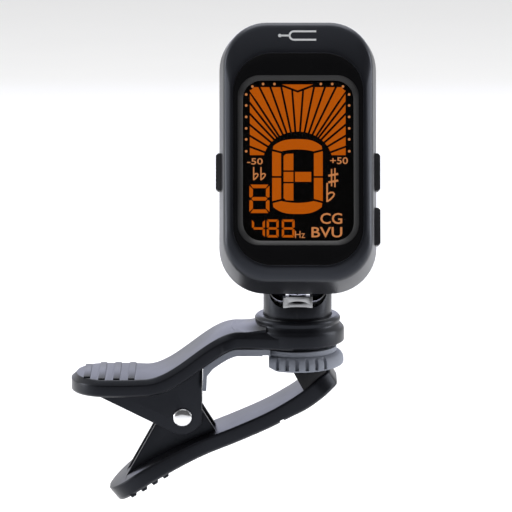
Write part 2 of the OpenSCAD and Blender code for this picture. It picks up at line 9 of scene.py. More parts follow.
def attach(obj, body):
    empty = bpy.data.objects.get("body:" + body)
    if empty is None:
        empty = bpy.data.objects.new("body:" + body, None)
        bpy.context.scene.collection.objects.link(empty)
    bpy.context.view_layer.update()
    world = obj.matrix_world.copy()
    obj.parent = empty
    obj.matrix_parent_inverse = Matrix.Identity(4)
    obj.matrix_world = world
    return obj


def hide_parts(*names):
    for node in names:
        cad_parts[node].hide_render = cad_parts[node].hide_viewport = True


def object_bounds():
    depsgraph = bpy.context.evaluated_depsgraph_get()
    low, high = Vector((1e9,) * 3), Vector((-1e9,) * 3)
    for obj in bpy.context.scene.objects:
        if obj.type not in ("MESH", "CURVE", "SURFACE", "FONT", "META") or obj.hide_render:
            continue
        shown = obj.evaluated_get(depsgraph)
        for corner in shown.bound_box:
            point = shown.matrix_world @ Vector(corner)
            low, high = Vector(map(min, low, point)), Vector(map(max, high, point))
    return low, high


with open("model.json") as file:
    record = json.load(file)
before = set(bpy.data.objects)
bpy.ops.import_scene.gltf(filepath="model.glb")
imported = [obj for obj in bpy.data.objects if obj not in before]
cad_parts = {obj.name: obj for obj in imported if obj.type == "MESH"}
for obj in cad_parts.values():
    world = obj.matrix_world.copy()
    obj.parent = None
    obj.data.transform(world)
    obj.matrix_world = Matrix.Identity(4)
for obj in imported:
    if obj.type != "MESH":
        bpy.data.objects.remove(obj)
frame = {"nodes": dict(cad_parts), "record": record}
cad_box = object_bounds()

# Shapes are worked out in millimetres, in the CAD frame, and scaled once at the end.
MM = 0.001
LEAN = math.radians(18)
HINGE_Z = 20
HEAD = Matrix.Translation((0, 0, HINGE_Z)) @ Matrix.Rotation(-LEAN, 4, "X")
STILL = Matrix.Identity(4)


# ---------------------------------------------------------------- mesh helpers

def new_object(name, verts, faces):
    mesh = bpy.data.meshes.new(name)
    mesh.from_pydata([tuple(v) for v in verts], [], faces)
    bm = bmesh.new()
    bm.from_mesh(mesh)
    bmesh.ops.recalc_face_normals(bm, faces=bm.faces)
    bm.to_mesh(mesh)
    bm.free()
    obj = bpy.data.objects.new(name, mesh)
    bpy.context.collection.objects.link(obj)
    return obj


def skin(name, rings, ends="caps"):
    """A closed skin over rings of equal length. ends is caps, or loop to join last to first."""
    n = len(rings[0])
    verts = [v for ring in rings for v in ring]
    pairs = [(k, k + 1) for k in range(len(rings) - 1)]
    if ends == "loop":
        pairs.append((len(rings) - 1, 0))
    faces = [(a * n + i, b * n + i, b * n + (i + 1) % n, a * n + (i + 1) % n)
             for a, b in pairs for i in range(n)]
    if ends == "caps":
        faces += [tuple(range(n)), tuple(range(len(verts) - n, len(verts)))]
    return new_object(name, verts, faces)


def rounded(points, radii, steps=3, closed=True):
    """Replaces each corner by a small curve that starts and ends a radius away from it."""
    pts = [Vector(p) for p in points]
    if not isinstance(radii, (list, tuple)):
        radii = [radii] * len(pts)
    out = []
    for k, (p, r) in enumerate(zip(pts, radii)):
        if not r or (not closed and k in (0, len(pts) - 1)):
            out.append(p)
            continue
        a, b = pts[k - 1] - p, pts[(k + 1) % len(pts)] - p
        start = p + a.normalized() * min(r, a.length * 0.48)
        end = p + b.normalized() * min(r, b.length * 0.48)
        for i in range(steps + 1):
            t = i / steps
            out.append(start * (1 - t) ** 2 + p * 2 * t * (1 - t) + end * t * t)
    return out


def round_rings(rings, radii, steps=3):
    """Rounds the edges where one ring's slope meets the next."""
    chains = [rounded(chain, radii, steps, closed=False) for chain in zip(*rings)]
    return [list(ring) for ring in zip(*chains)]


def prism(name, outline, y0, y1):
    """A plate in the XZ plane between two depths."""
    return skin(name, [[(x, y, z) for x, z in outline] for y in (y0, y1)])


def block(name, low, high):
    xs, ys, zs = zip(low, high)
    return prism(name, [(xs[0], zs[0]), (xs[1], zs[0]), (xs[1], zs[1]), (xs[0], zs[1])], *ys)


AXES = {"X": Matrix.Rotation(math.radians(90), 4, "Y"),
        "Y": Matrix.Rotation(math.radians(-90), 4, "X"), "Z": STILL}


def lathe(name, profile, axis="Z", at=(0, 0, 0), segments=96):
    """Turns a profile of (radius, height) points about an axis. Both ends are capped."""
    rings = [[(r * math.cos(a), r * math.sin(a), h)
              for a in (2 * math.pi * i / segments for i in range(segments))]
             for r, h in profile]
    obj = skin(name, rings)
    obj.data.transform(Matrix.Translation(at) @ AXES[axis])
    return obj


def rod(name, r, start, end, axis, at, segments=48):
    return lathe(name, [(r, start), (r, end)], axis, at, segments)


def apply(obj):
    mesh = bpy.data.meshes.new_from_object(
        obj.evaluated_get(bpy.context.evaluated_depsgraph_get()))
    obj.modifiers.clear()
    obj.data = mesh
    return obj


def bevel(obj, width, segments=2, angle=32):
    mod = obj.modifiers.new("bevel", "BEVEL")
    mod.width = width
    mod.segments = segments
    mod.limit_method = "ANGLE"
    mod.angle_limit = math.radians(angle)
    mod.miter_outer = "MITER_ARC"
    return apply(obj)


def mirrored(obj, axis):
    obj.data.transform(Matrix.Scale(-1, 4, axis))
    obj.data.flip_normals()
    return obj


def boolean(obj, kind, *others):
    for other in others:
        mod = obj.modifiers.new("boolean", "BOOLEAN")
        mod.operation = kind
        mod.solver = "EXACT"
        mod.object = other
        apply(obj)
        bpy.data.objects.remove(other)
    return obj


def place(obj, material, body, *nodes, slot=None, matrix=STILL, sharp=38):
    """Finishes a piece: shading, material, its body and the CAD nodes it stands for."""
    bm = bmesh.new()
    bm.from_mesh(obj.data)
    bmesh.ops.remove_doubles(bm, verts=bm.verts, dist=0.0004)
    bmesh.ops.dissolve_degenerate(bm, edges=bm.edges, dist=0.0004)
    bm.to_mesh(obj.data)
    bm.free()
    obj.data.transform(Matrix.Scale(MM, 4) @ matrix)
    obj.data.shade_smooth()
    obj.data.set_sharp_from_angle(angle=math.radians(sharp))
    obj.data.materials.clear()
    obj.data.materials.append(material)
    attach(obj, body)
    if nodes:
        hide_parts(*nodes)
    return obj


def smooth(t):
    t = max(0.0, min(1.0, t))
    return t * t * (3 - 2 * t)


def up_normal(dx, dz):
    d = math.hypot(dx, dz)
    return -dz / d, dx / d


def touch(c, r, p, side):
    """Where a tangent from p touches the circle of radius r about c."""
    dx, dz = p[0] - c[0], p[1] - c[1]
    a = math.atan2(dz, dx) + side * math.acos(r / math.hypot(dx, dz))
    return c[0] + r * math.cos(a), c[1] + r * math.sin(a)


def arc(c, r, a0, a1, steps):
    return [(c[0] + r * math.cos(math.radians(a0 + (a1 - a0) * i / steps)),
             c[1] + r * math.sin(math.radians(a0 + (a1 - a0) * i / steps)))
            for i in range(steps + 1)]


def angle_at(c, p):
    return math.degrees(math.atan2(p[1] - c[1], p[0] - c[0]))


# ---------------------------------------------------------------- materials

def node(tree, kind, **inputs):
    n = tree.nodes.new(kind)
    for key, value in inputs.items():
        n.inputs[key.replace("_", " ")].default_value = value
    return n


def shade(name, colour, rough, grain=900, bump=0.12, metal=0.0, specular=0.35,
          edge_highlight=0.0, streak=None, mottle=0.12, tint=None):
    """A surface with fine grain in its bump, soft mottling in its colour and its gloss, and a
    painted highlight that lightens its sharp convex edges.
    """
    mat = bpy.data.materials.new(name)
    mat.use_nodes = True
    tree = mat.node_tree
    link = tree.links.new
    bsdf = tree.nodes["Principled BSDF"]
    bsdf.inputs["Metallic"].default_value = metal
    bsdf.inputs["Specular IOR Level"].default_value = specular
    if tint:
        bsdf.inputs["Specular Tint"].default_value = (*tint, 1)
    place_in = tree.nodes.new("ShaderNodeTexCoord").outputs["Object"]
    if streak:
        stretch = tree.nodes.new("ShaderNodeMapping")
        stretch.inputs["Scale"].default_value = streak
        link(place_in, stretch.inputs["Vector"])
        place_in = stretch.outputs["Vector"]

    fine = node(tree, "ShaderNodeTexNoise", Scale=grain, Detail=4.0, Roughness=0.6)
    broad = node(tree, "ShaderNodeTexNoise", Scale=grain / 14, Detail=3.0, Roughness=0.55)
    for texture in (fine, broad):
        link(place_in, texture.inputs["Vector"])

    uneven = node(tree, "ShaderNodeMapRange", To_Min=1 - mottle, To_Max=1 + mottle)
    link(broad.outputs["Fac"], uneven.inputs["Value"])
    colour_mix = tree.nodes.new("ShaderNodeVectorMath")
    colour_mix.operation = "SCALE"
    colour_mix.inputs[0].default_value = colour
    link(uneven.outputs["Result"], colour_mix.inputs["Scale"])
    base = colour_mix.outputs["Vector"]
    # painted highlight: sharp convex edges, found by pointiness, are mixed towards a lighter
    # colour
    if edge_highlight:
        edges = tree.nodes.new("ShaderNodeNewGeometry")
        highlight_mask = node(tree, "ShaderNodeMapRange", From_Min=0.52, From_Max=0.62, To_Min=0.0,
                    To_Max=edge_highlight)
        link(edges.outputs["Pointiness"], highlight_mask.inputs["Value"])
        highlight_mix = tree.nodes.new("ShaderNodeMix")
        highlight_mix.data_type = "RGBA"
        link(highlight_mask.outputs["Result"], highlight_mix.inputs["Factor"])
        link(base, highlight_mix.inputs["A"])
        highlight_mix.inputs["B"].default_value = (*[min(1, c * 3 + 0.05) for c in colour], 1)
        base = highlight_mix.outputs["Result"]
    link(base, bsdf.inputs["Base Color"])

    gloss = node(tree, "ShaderNodeMapRange", To_Min=rough - 0.07, To_Max=rough + 0.07)
    link(broad.outputs["Fac"], gloss.inputs["Value"])
    link(gloss.outputs["Result"], bsdf.inputs["Roughness"])
    relief = node(tree, "ShaderNodeBump", Strength=bump, Distance=0.00004)
    link(fine.outputs["Fac"], relief.inputs["Height"])
    link(relief.outputs["Normal"], bsdf.inputs["Normal"])
    return mat


def glow(name, colour, strength):
    """A lit segment: an even glow with a slight unevenness of the backlight."""
    mat = bpy.data.materials.new(name)
    mat.use_nodes = True
    tree = mat.node_tree
    bsdf = tree.nodes["Principled BSDF"]
    bsdf.inputs["Base Color"].default_value = (*[c * 0.06 for c in colour], 1)
    bsdf.inputs["Roughness"].default_value = 0.6
    bsdf.inputs["Specular IOR Level"].default_value = 0.06
    bsdf.inputs["Emission Color"].default_value = (*colour, 1)
    uneven = node(tree, "ShaderNodeTexNoise", Scale=90.0, Detail=2.0)
    level = node(tree, "ShaderNodeMapRange", To_Min=strength * 0.85, To_Max=strength * 1.15)
    tree.links.new(uneven.outputs["Fac"], level.inputs["Value"])
    tree.links.new(level.outputs["Result"], bsdf.inputs["Emission Strength"])
    return mat


def clear_film(name):
    """A thin window: see-through, with a soft mirror at its surface."""
    mat = bpy.data.materials.new(name)
    mat.use_nodes = True
    tree = mat.node_tree
    tree.nodes.remove(tree.nodes["Principled BSDF"])
    through = tree.nodes.new("ShaderNodeBsdfTransparent")
    mirror = tree.nodes.new("ShaderNodeBsdfGlossy")
    mirror.inputs["Roughness"].default_value = 0.12
    amount = node(tree, "ShaderNodeFresnel", IOR=1.12)
    ripple = node(tree, "ShaderNodeTexNoise", Scale=60.0, Detail=1.0)
    relief = node(tree, "ShaderNodeBump", Strength=0.02, Distance=0.0001)
    tree.links.new(ripple.outputs["Fac"], relief.inputs["Height"])
    tree.links.new(relief.outputs["Normal"], mirror.inputs["Normal"])
    mix = tree.nodes.new("ShaderNodeMixShader")
    tree.links.new(amount.outputs["Fac"], mix.inputs["Fac"])
    tree.links.new(through.outputs["BSDF"], mix.inputs[1])
    tree.links.new(mirror.outputs["BSDF"], mix.inputs[2])
    tree.links.new(mix.outputs["Shader"], tree.nodes["Material Output"].inputs["Surface"])
    return mat


BLUISH = (0.78, 0.84, 1.0)
# the clip, shell and button blacks carry a painted highlight on their edges
CLIP_BLACK = shade("clip_black", (0.0042, 0.0043, 0.0056), 0.33, specular=0.24, edge_highlight=0.25,
                   tint=BLUISH)
SHELL_BLACK = shade("shell_black", (0.0048, 0.0050, 0.0066), 0.34, specular=0.4, edge_highlight=0.2,
                    tint=BLUISH)
FACE_BLACK = shade("face_black", (0.003, 0.003, 0.0036), 0.36, grain=1500, bump=0.04,
                   specular=0.12)
FRAME_GREY = shade("frame_grey", (0.007, 0.007, 0.0082), 0.36, grain=1500, bump=0.05)
BUTTON_BLACK = shade("button_black", (0.014, 0.014, 0.017), 0.42, edge_highlight=0.2)
GREY_RUBBER = shade("grey_rubber", (0.19, 0.205, 0.245), 0.62, grain=1400, bump=0.35,
                    specular=0.25, mottle=0.16)
BLACK_RUBBER = shade("black_rubber", (0.010, 0.010, 0.012), 0.6, grain=1400, bump=0.35,
                     specular=0.2)
BRACKET_STEEL = shade("bracket_steel", (0.34, 0.345, 0.36), 0.3, grain=700, bump=0.08,
                      metal=1.0, streak=(1, 9, 9), mottle=0.2)
STEEL = shade("steel", (0.72, 0.73, 0.76), 0.24, grain=500, bump=0.08, metal=1.0, mottle=0.05,
              streak=(1, 1, 14))
RIVET_STEEL = shade("rivet_steel", (0.80, 0.81, 0.84), 0.14, grain=700, bump=0.05, metal=1.0,
                    mottle=0.04)
SPRING_STEEL = shade("spring_steel", (0.42, 0.43, 0.45), 0.32, metal=1.0, mottle=0.1)
NICKEL = shade("nickel", (0.70, 0.68, 0.64), 0.28, metal=1.0, mottle=0.06)
BRASS = shade("brass", (0.72, 0.52, 0.22), 0.35, metal=1.0, mottle=0.1)
BOARD_GREEN = shade("board_green", (0.015, 0.10, 0.05), 0.4)
CHIP_BLACK = shade("chip_black", (0.012, 0.012, 0.014), 0.55)
LCD_BLACK = shade("lcd_black", (0.0022, 0.0018, 0.0018), 0.3, bump=0.02, specular=0.08)
MILKY = shade("milky", (0.80, 0.74, 0.60), 0.5, mottle=0.04)
ZEBRA = shade("zebra", (0.45, 0.45, 0.46), 0.6, streak=(40, 1, 1))
LED_ORANGE = shade("led_orange", (0.9, 0.45, 0.12), 0.35)
PTFE = shade("ptfe", (0.75, 0.73, 0.66), 0.5, mottle=0.05)
PRINT_WHITE = shade("print_white", (0.62, 0.63, 0.65), 0.5, bump=0.03, mottle=0.05)
SEGMENT = glow("lcd_segment", (0.415, 0.079, 0.0012), 1.0)
MARK = glow("lcd_mark", (0.50, 0.19, 0.065), 1.0)
WINDOW = clear_film("clear_window")

SLOT_MATERIALS = {
    "black_clip": CLIP_BLACK, "black_shell": SHELL_BLACK, "face_black": FACE_BLACK,
    "clear_lens": WINDOW, "lcd_glass": LCD_BLACK, "light_guide": MILKY,
    "rubber_grey": GREY_RUBBER, "rubber_black": BLACK_RUBBER, "steel": STEEL,
    "spring_steel": SPRING_STEEL, "nickel": NICKEL, "brass": BRASS,
    "board_green": BOARD_GREEN, "chip_black": CHIP_BLACK, "zebra": ZEBRA,
    "led": LED_ORANGE, "ptfe": PTFE}
for part in frame["record"]["subparts"]:
    cad = frame["nodes"][part["node"]]
    cad.data.materials.clear()
    screw = part["node"].endswith(("screw", "screws"))
    cad.data.materials.append(BRACKET_STEEL if screw else SLOT_MATERIALS[part["material_slot"]])


# ---------------------------------------------------------------- clip

PIVOT = (-25.2, -10.76)          # rivet axis: x, z
HANDLE_Z, ARM_RISE = -1.6, 10.3
HANDLE_END, HANDLE_ROUND = -49.7, -42
ARM_T, ARM_CHAMFER = 3.7, 1.1
DECK_Z = HANDLE_Z + ARM_RISE
EAR_RIGHT = -20.95
COLLAR_R, COLLAR_BASE_R, COLLAR_BASE_Z, COLLAR_CHAMFER = 10.25, 7.6, 4.5, 1.2
LIP_R, LIP_Z = 9.4, 11.5
POCKET_R, POCKET_Z = 7.6, 9.9
SHANK_R = 1.1
LINER_T = 1.45
PAD_LEFT, PAD_TOP, PAD_R = -6.3, 3.35, 10.15
GROOVES, GROOVE_FIRST, GROOVE_STEP = 6, 116, 12.6    # on each side of the pad, in degrees
SCREW_POCKET_R = 5.2
UPPER_EAR_R, UPPER_EAR_Y = 4, (3.7, 5.5)
LOWER_EAR_R, LOWER_EAR_Y = 4.3, (2.35, 3.55)
RIBS = 4
THUMB_RIB_X, THUMB_RIB_PITCH, FINGER_RIB_PITCH = -46.1, 3.25, 2.75
TOP_REACH = 6.6                  # length of the rounded end of the handle's top face


def arm_top(x):
    return HANDLE_Z + ARM_RISE * smooth((x + 33.5) / 20.5)


def arm_up(x):
    return up_normal(0.2, arm_top(x + 0.1) - arm_top(x - 0.1))


def arm_below(x, depth):
    ux, uz = arm_up(x)
    return x - ux * depth, arm_top(x) - uz * depth


def arm_half(x):
    return (8 + smooth((-12 - x) / 7) + 0.95 * smooth((-30 - x) / 8)
            + 1.8 * smooth((x + 11) / 10))


def end_round(x, start, reach):
    return 1 if x > start else math.sqrt(max(0.004, 1 - ((start - x) / reach) ** 2))


def bar_section(at, up, corners, fillet):
    """A section of a flat bar from (half width, depth) corners, listed from the top down."""
    side = [(at[0] - up[0] * d, w, at[1] - up[1] * d) for w, d in corners]
    return rounded(side + [(x, -y, z) for x, y, z in reversed(side)], fillet)


def arm_section(x):
    reach = HANDLE_ROUND - HANDLE_END
    drop = max(0, ARM_CHAMFER - (x - HANDLE_END))
    w = arm_half(x) * end_round(x, HANDLE_ROUND, reach)
    top_w = (arm_half(x) - ARM_CHAMFER) * end_round(x, HANDLE_ROUND, reach - ARM_CHAMFER)
    top_w = min(max(0.05, top_w), w - 0.3)
    corners = [(top_w, drop), (w, ARM_CHAMFER), (w, ARM_T - 0.45), (w - 0.45, ARM_T)]
    return bar_section((x, arm_top(x)), arm_up(x), corners, 0.22)


def both_sides(make):
    """Two copies of a part that make() draws on the +Y side."""
    return make(), mirrored(make(), (0, 1, 0))


def upper_ear():
    r, right = UPPER_EAR_R, EAR_RIGHT
    foot = (-46.3, -4.7)
    left = touch(PIVOT, r, foot, 1)
    top = [arm_below(-45 + 3 * i, ARM_T * 0.6) for i in range(8)]
    outline = [foot] + top + [(right, arm_below(right, ARM_T * 0.6)[1])]
    corner = (right, PIVOT[1] - 1.4)
    start = angle_at(PIVOT, touch(PIVOT, r, corner, -1))
    outline += [corner] + arc(PIVOT, r, start, angle_at(PIVOT, left) % 360 - 360, 24)
    return bevel(prism("ear", outline, *UPPER_EAR_Y), 0.25)


def thumb_rib(i):
    x = THUMB_RIB_X + i * THUMB_RIB_PITCH
    w = (arm_half(x) - ARM_CHAMFER) * end_round(x, HANDLE_ROUND, TOP_REACH) - 0.5
    top = HANDLE_Z + 0.3
    foot = HANDLE_Z - 0.5
    outline = [(x - 0.8, foot), (x + 0.8, foot), (x + 0.7, top), (x - 0.7, top)]
    return bevel(prism("rib", outline, -w, w), 0.08)


def collar_skirt():
    """A soft fillet that carries the arm's top face up to the collar's lip."""
    steps = 10
    rise, spread = 1.15, 4.2
    profile = [(0.01, 6.5), (COLLAR_R + spread, 6.5), (COLLAR_R + spread, DECK_Z - 0.03)]
    profile += [(COLLAR_R + spread * (1 - t) - 0.9 * t, DECK_Z - 0.03 + rise * t ** 2.6)
                for t in (i / steps for i in range(1, steps + 1))]
    profile.append((0.01, DECK_Z - 0.03 + rise))
    skirt = lathe("skirt", profile)
    xs = [-16 + 0.7 * i for i in range(14)]
    plan = [(x, -(arm_half(x) - ARM_CHAMFER - 0.05)) for x in xs]
    plan += [(x, -y) for x, y in reversed(plan)]
    keep = skin("keep", [[(x, y, z) for x, y in plan] for z in (5, 12)])
    return boolean(skirt, "INTERSECT", keep)


def upper_arm():
    reach = HANDLE_ROUND - HANDLE_END
    xs = [HANDLE_ROUND - reach * math.cos(math.radians(a)) for a in range(3, 90, 4)]
    xs += [HANDLE_ROUND + 0.5 + 0.7 * i for i in range(59)]
    arm = skin("upper_arm_moulding", [arm_section(x) for x in xs])
    collar = lathe("collar", rounded([
        (0.01, COLLAR_BASE_Z), (COLLAR_BASE_R, COLLAR_BASE_Z),
        (COLLAR_R, COLLAR_BASE_Z + COLLAR_CHAMFER), (COLLAR_R, DECK_Z - 0.1), (9.35, 9.55),
        (9.2, 9.9), (LIP_R, 10.45), (LIP_R, 10.85), (8.8, LIP_Z), (0.01, LIP_Z)],
        [0, 0.5, 0.25, 0.5, 0.4, 0.2, 0.3, 0.3, 0.35, 0], closed=False))
    wall = block("wall", (EAR_RIGHT - 1, -3.9, -6.1), (EAR_RIGHT - 0.12, 3.9, 1.8))
    boolean(arm, "UNION", collar, collar_skirt(), *both_sides(upper_ear), wall,
            *[thumb_rib(i) for i in range(RIBS)])
    boolean(arm, "DIFFERENCE",
            rod("bore", SHANK_R + 0.02, -8, 8, "Y", (PIVOT[0], 0, PIVOT[1])),
            rod("pocket", POCKET_R, POCKET_Z, 14, "Z", (0, 0, 0), 96),
            rod("spigot_bore", 2.55, 3, 12, "Z", (0, 0, 0)),
            rod("screw_pocket", SCREW_POCKET_R, 3, 6.9, "Z", (0, 0, 0)))
    place(arm, CLIP_BLACK, "upper_clip", "upper_arm", slot="black_clip")


def jaw_liner():
    lip = 0.02
    xs = [-22.9 + 0.6 * i for i in range(26)]
    outline = [arm_below(x, ARM_T + lip) for x in xs]
    outline += [(-4, DECK_Z - ARM_T - lip), (-4, 3.5)]
    outline += [arm_below(-8.4 - 0.6 * i, ARM_T + LINER_T) for i in range(23)]
    outline += [(-19.85, -1), (-19.95, -4), (-20.1, -4.25), (-20.7, -4.25), (-20.8, -4)]
    liner = prism("jaw_liner_moulding", outline, -8, 8)
    boolean(liner, "INTERSECT", block("span", (EAR_RIGHT + lip, -9, -6), (-6, 9, 6)))
    disc_top = COLLAR_BASE_Z - lip
    disc = lathe("disc", rounded([
        (0.01, PAD_TOP), (8.6, PAD_TOP), (8.6, disc_top), (0.01, disc_top)],
        [0, 0.15, 0.1, 0], closed=False))
    boolean(liner, "UNION", disc)
    shoulder = COLLAR_BASE_Z + COLLAR_CHAMFER
    seat = lathe("seat", [(0.01, disc_top), (COLLAR_BASE_R + lip, disc_top),
                          (COLLAR_R + lip, shoulder), (COLLAR_R + lip, 9), (0.01, 9)])
    boolean(liner, "DIFFERENCE", block("relief", (-7.7, -9, 2), (PAD_LEFT, 9, 3.75)), seat,
            rod("screw_room", SCREW_POCKET_R, 3, 7, "Z", (0, 0, 0)))
    bevel(liner, 0.12)
    place(liner, GREY_RUBBER, "upper_clip", "jaw_liner", slot="rubber_grey")


def upper_jaw_pad():
    top = PAD_TOP - 0.02
    pad = lathe("upper_jaw_pad_moulding", rounded([
        (0.01, 0), (9, 0), (PAD_R, 0.55), (PAD_R, 2.1), (9.6, 2.95), (8.6, top), (0.01, top)],
        [0, 0.6, 0.5, 0.6, 0.4, 0.15, 0], steps=4, closed=False))
    cut = [(PAD_LEFT, 4), (PAD_LEFT, 1.1), (-4.3, 0.12), (-3.4, -1), (12, -1), (12, 4)]
    boolean(pad, "INTERSECT", prism("cut", cut, -11, 11))
    for s in (-1, 1):
        for i in range(GROOVES):
            a = math.radians(s * (GROOVE_FIRST - i * GROOVE_STEP))
            groove = block("groove", (9.15, -0.4, 0.6), (11, 0.4, 4.5))
            groove.data.transform(Matrix.Rotation(a, 4, "Z"))
            boolean(pad, "DIFFERENCE", groove)
    bevel(pad, 0.12, angle=40)
    place(pad, GREY_RUBBER, "upper_clip", "upper_jaw_pad", slot="rubber_grey")


def spline(pts, n):
    """Catmull-Rom curve through a list of points, n steps between neighbours."""
    pts = [Vector(p) for p in pts]
    out = []
    for k in range(len(pts) - 1):
        a, b, c, d = (pts[max(0, min(len(pts) - 1, k + j))] for j in (-1, 0, 1, 2))
        for i in range(n):
            t = i / n
            out.append(0.5 * (2 * b + (c - a) * t + (2 * a - 5 * b + 4 * c - d) * t * t
                              + (3 * b - a - 3 * c + d) * t ** 3))
    return out + [pts[-1]]


JAW_STEPS = 8
JAW_END_START, JAW_END_REACH = -35, 6.6      # the handle's end narrows left of the start
JAW_TIP_START, JAW_TIP_REACH = 3, 5          # the tip narrows right of it
JAW_LINE = spline([(-41.4, -27.4), (-38, -24.65), (-34.5, -22.1), (-28, -18.55), (-21, -15.35),
                   (-14, -12.5), (-7, -9.35), (-2, -6.5), (1.3, -4.25), (4, -2.15), (6.3, -0.55)],
                  JAW_STEPS)


def jaw_half(x):
    return 7.7 + 1.6 * smooth((-20 - x) / 15)


def jaw_thick(x):
    return (3.45 + 0.2 * smooth((-20 - x) / 12) + 0.5 * smooth((x + 5) / 6)
            - 0.25 * smooth((x - 3) / 4))


def jaw_round(x):
    tip = 1 if x < JAW_TIP_START else math.sqrt(1 - ((x - JAW_TIP_START) / JAW_TIP_REACH) ** 2)
    return end_round(x, JAW_END_START, JAW_END_REACH) * tip


def jaw_up(i):
    d = JAW_LINE[min(i + 1, len(JAW_LINE) - 1)] - JAW_LINE[max(i - 1, 0)]
    return up_normal(*d)


def jaw_below(i, depth):
    up = jaw_up(i)
    return JAW_LINE[i][0] - up[0] * depth, JAW_LINE[i][1] - up[1] * depth


def jaw_section(i):
    at = JAW_LINE[i]
    t, w = jaw_thick(at[0]), jaw_half(at[0]) * jaw_round(at[0])
    return bar_section(at, jaw_up(i), [(w - 0.3, 0), (w, 0.3), (w, t - 0.6), (w - 0.6, t)], 0.2)


def lower_ear():
    r = LOWER_EAR_R
    feet = [(-38, -24.95), (-17.6, -14.8)]
    base = [jaw_below(i, 1.45) for i in range(46, 5, -4)]
    base = [p for p in base if feet[0][0] < p[0] < feet[1][0]]
    right, left = touch(PIVOT, r, feet[1], 1), touch(PIVOT, r, feet[0], -1)
    a0, a1 = angle_at(PIVOT, left) % 360, angle_at(PIVOT, right) % 360
    over = arc(PIVOT, r, a0, a1 if a1 < a0 else a1 - 360, 24)
    return bevel(prism("ear", over + [feet[1]] + base + [feet[0]], *LOWER_EAR_Y), 0.2)


def finger_rib(i):
    """One grip step across the outer face of the lower handle."""
    start, slope = jaw_below(6, jaw_thick(-38) - 0.3), math.atan2(5.3, 8.8)
    x = start[0] + 0.2 + i * FINGER_RIB_PITCH * math.cos(slope)
    z = start[1] + i * FINGER_RIB_PITCH * math.sin(slope)
    w = jaw_half(x) * jaw_round(x) - 1.2
    rib = prism("rib", [(0, 0.4), (0.1, -0.48), (1.3, -0.48), (1.5, 0.4)], -w, w)
    bevel(rib, 0.15)
    rib.data.transform(Matrix.Translation((x, 0, z)) @ Matrix.Rotation(-slope, 4, "Y"))
    return rib


def lower_arm():
    rings = [jaw_section(i) for i in range(len(JAW_LINE))]
    # the tip closes in a soft round
    last, mid = rings[-1], sum(rings[-1], Vector()) / len(rings[-1])
    along = (JAW_LINE[-1] - JAW_LINE[-2]).normalized()
    for a in (30, 55, 75, 88):
        size, reach = math.cos(math.radians(a)), 0.7 * math.sin(math.radians(a))
        ahead = Vector((along.x, 0, along.y)) * reach
        rings.append([mid + (p - mid) * (0.55 + 0.45 * size) + ahead for p in last])
    arm = skin("lower_arm_moulding", rings)
    boolean(arm, "UNION", *both_sides(lower_ear), *[finger_rib(i) for i in range(RIBS)])
    notch = block("notch", (-0.5, -9, -0.6), (0.5, 9, 0.35))
    notch_turn = Matrix.Rotation(math.radians(-24), 4, "Y")
    notch.data.transform(Matrix.Translation((-3.4, 0, -11.2)) @ notch_turn)
    boolean(arm, "DIFFERENCE", rod("bore", SHANK_R + 0.05, -8, 8, "Y", (PIVOT[0], 0, PIVOT[1])),
            notch)
    place(arm, CLIP_BLACK, "lower_clip", "lower_arm", slot="black_clip")


def lower_jaw_pad():
    last = len(JAW_LINE) - 1
    face = []
    for i in range(last - 2 * JAW_STEPS, last + 1, 2):
        up = jaw_up(i)
        face.append((JAW_LINE[i][0] + up[0] * 0.03, JAW_LINE[i][1] + up[1] * 0.03))
    top = [(6.1, -0.02), (-0.9, -0.02), (-0.8, -0.5)]
    pad = prism("lower_jaw_pad_moulding", face + top, -7.5, 7.5)
    boolean(pad, "INTERSECT", rod("round", 7.5, -8, 2, "Z", (1.2, 0, 0), 96))
    bevel(pad, 0.18)
    place(pad, BLACK_RUBBER, "lower_clip", "lower_jaw_pad", slot="rubber_black")


def pivot_rivet():
    ear, cap_r, cap_h = 5.52, 2.13, 0.85
    dome = [(cap_r * math.cos(t) ** 0.8, ear + 0.12 + (cap_h - 0.12) * math.sin(t))
            for t in (math.pi / 2 * i / 10 for i in range(10))]
    half = [(SHANK_R, 0), (SHANK_R, ear), (cap_r - 0.08, ear), (cap_r, ear + 0.1)] + dome
    half.append((0.02, ear + cap_h))
    profile = [(r, -h) for r, h in reversed(half)] + half[1:]
    rivet = lathe("pivot_rivet_steel", profile, "Y", (PIVOT[0], 0, PIVOT[1]), 64)
    place(rivet, RIVET_STEEL, "upper_clip", "pivot_rivet", slot="steel", sharp=50)


upper_arm()
jaw_liner()
upper_jaw_pad()
lower_arm()
lower_jaw_pad()
pivot_rivet()


# ---------------------------------------------------------------- neck

SWIVEL_R, SPIGOT_R = 7.5, 2.5
CUT_HALF, CUT_FLOOR, CUT_CORNER, CHEEK_Z = 6.27, 14.1, 3, 17.3
BASE_FOOT, SPIGOT_END = 10.25, 6.85
SHEET = 0.5
BRACKET_HALF, BRACKET_FRONT, LENS_Z = 3.2, -7, 15.3
LENS_R, LENS_ANGLE = 6.1, 17.07  # the slot's two arcs: radius, half their angle
PIN_R, PIN_HEAD_R = 1, 1.6
BRACKET_SCREW_Y = 0.8


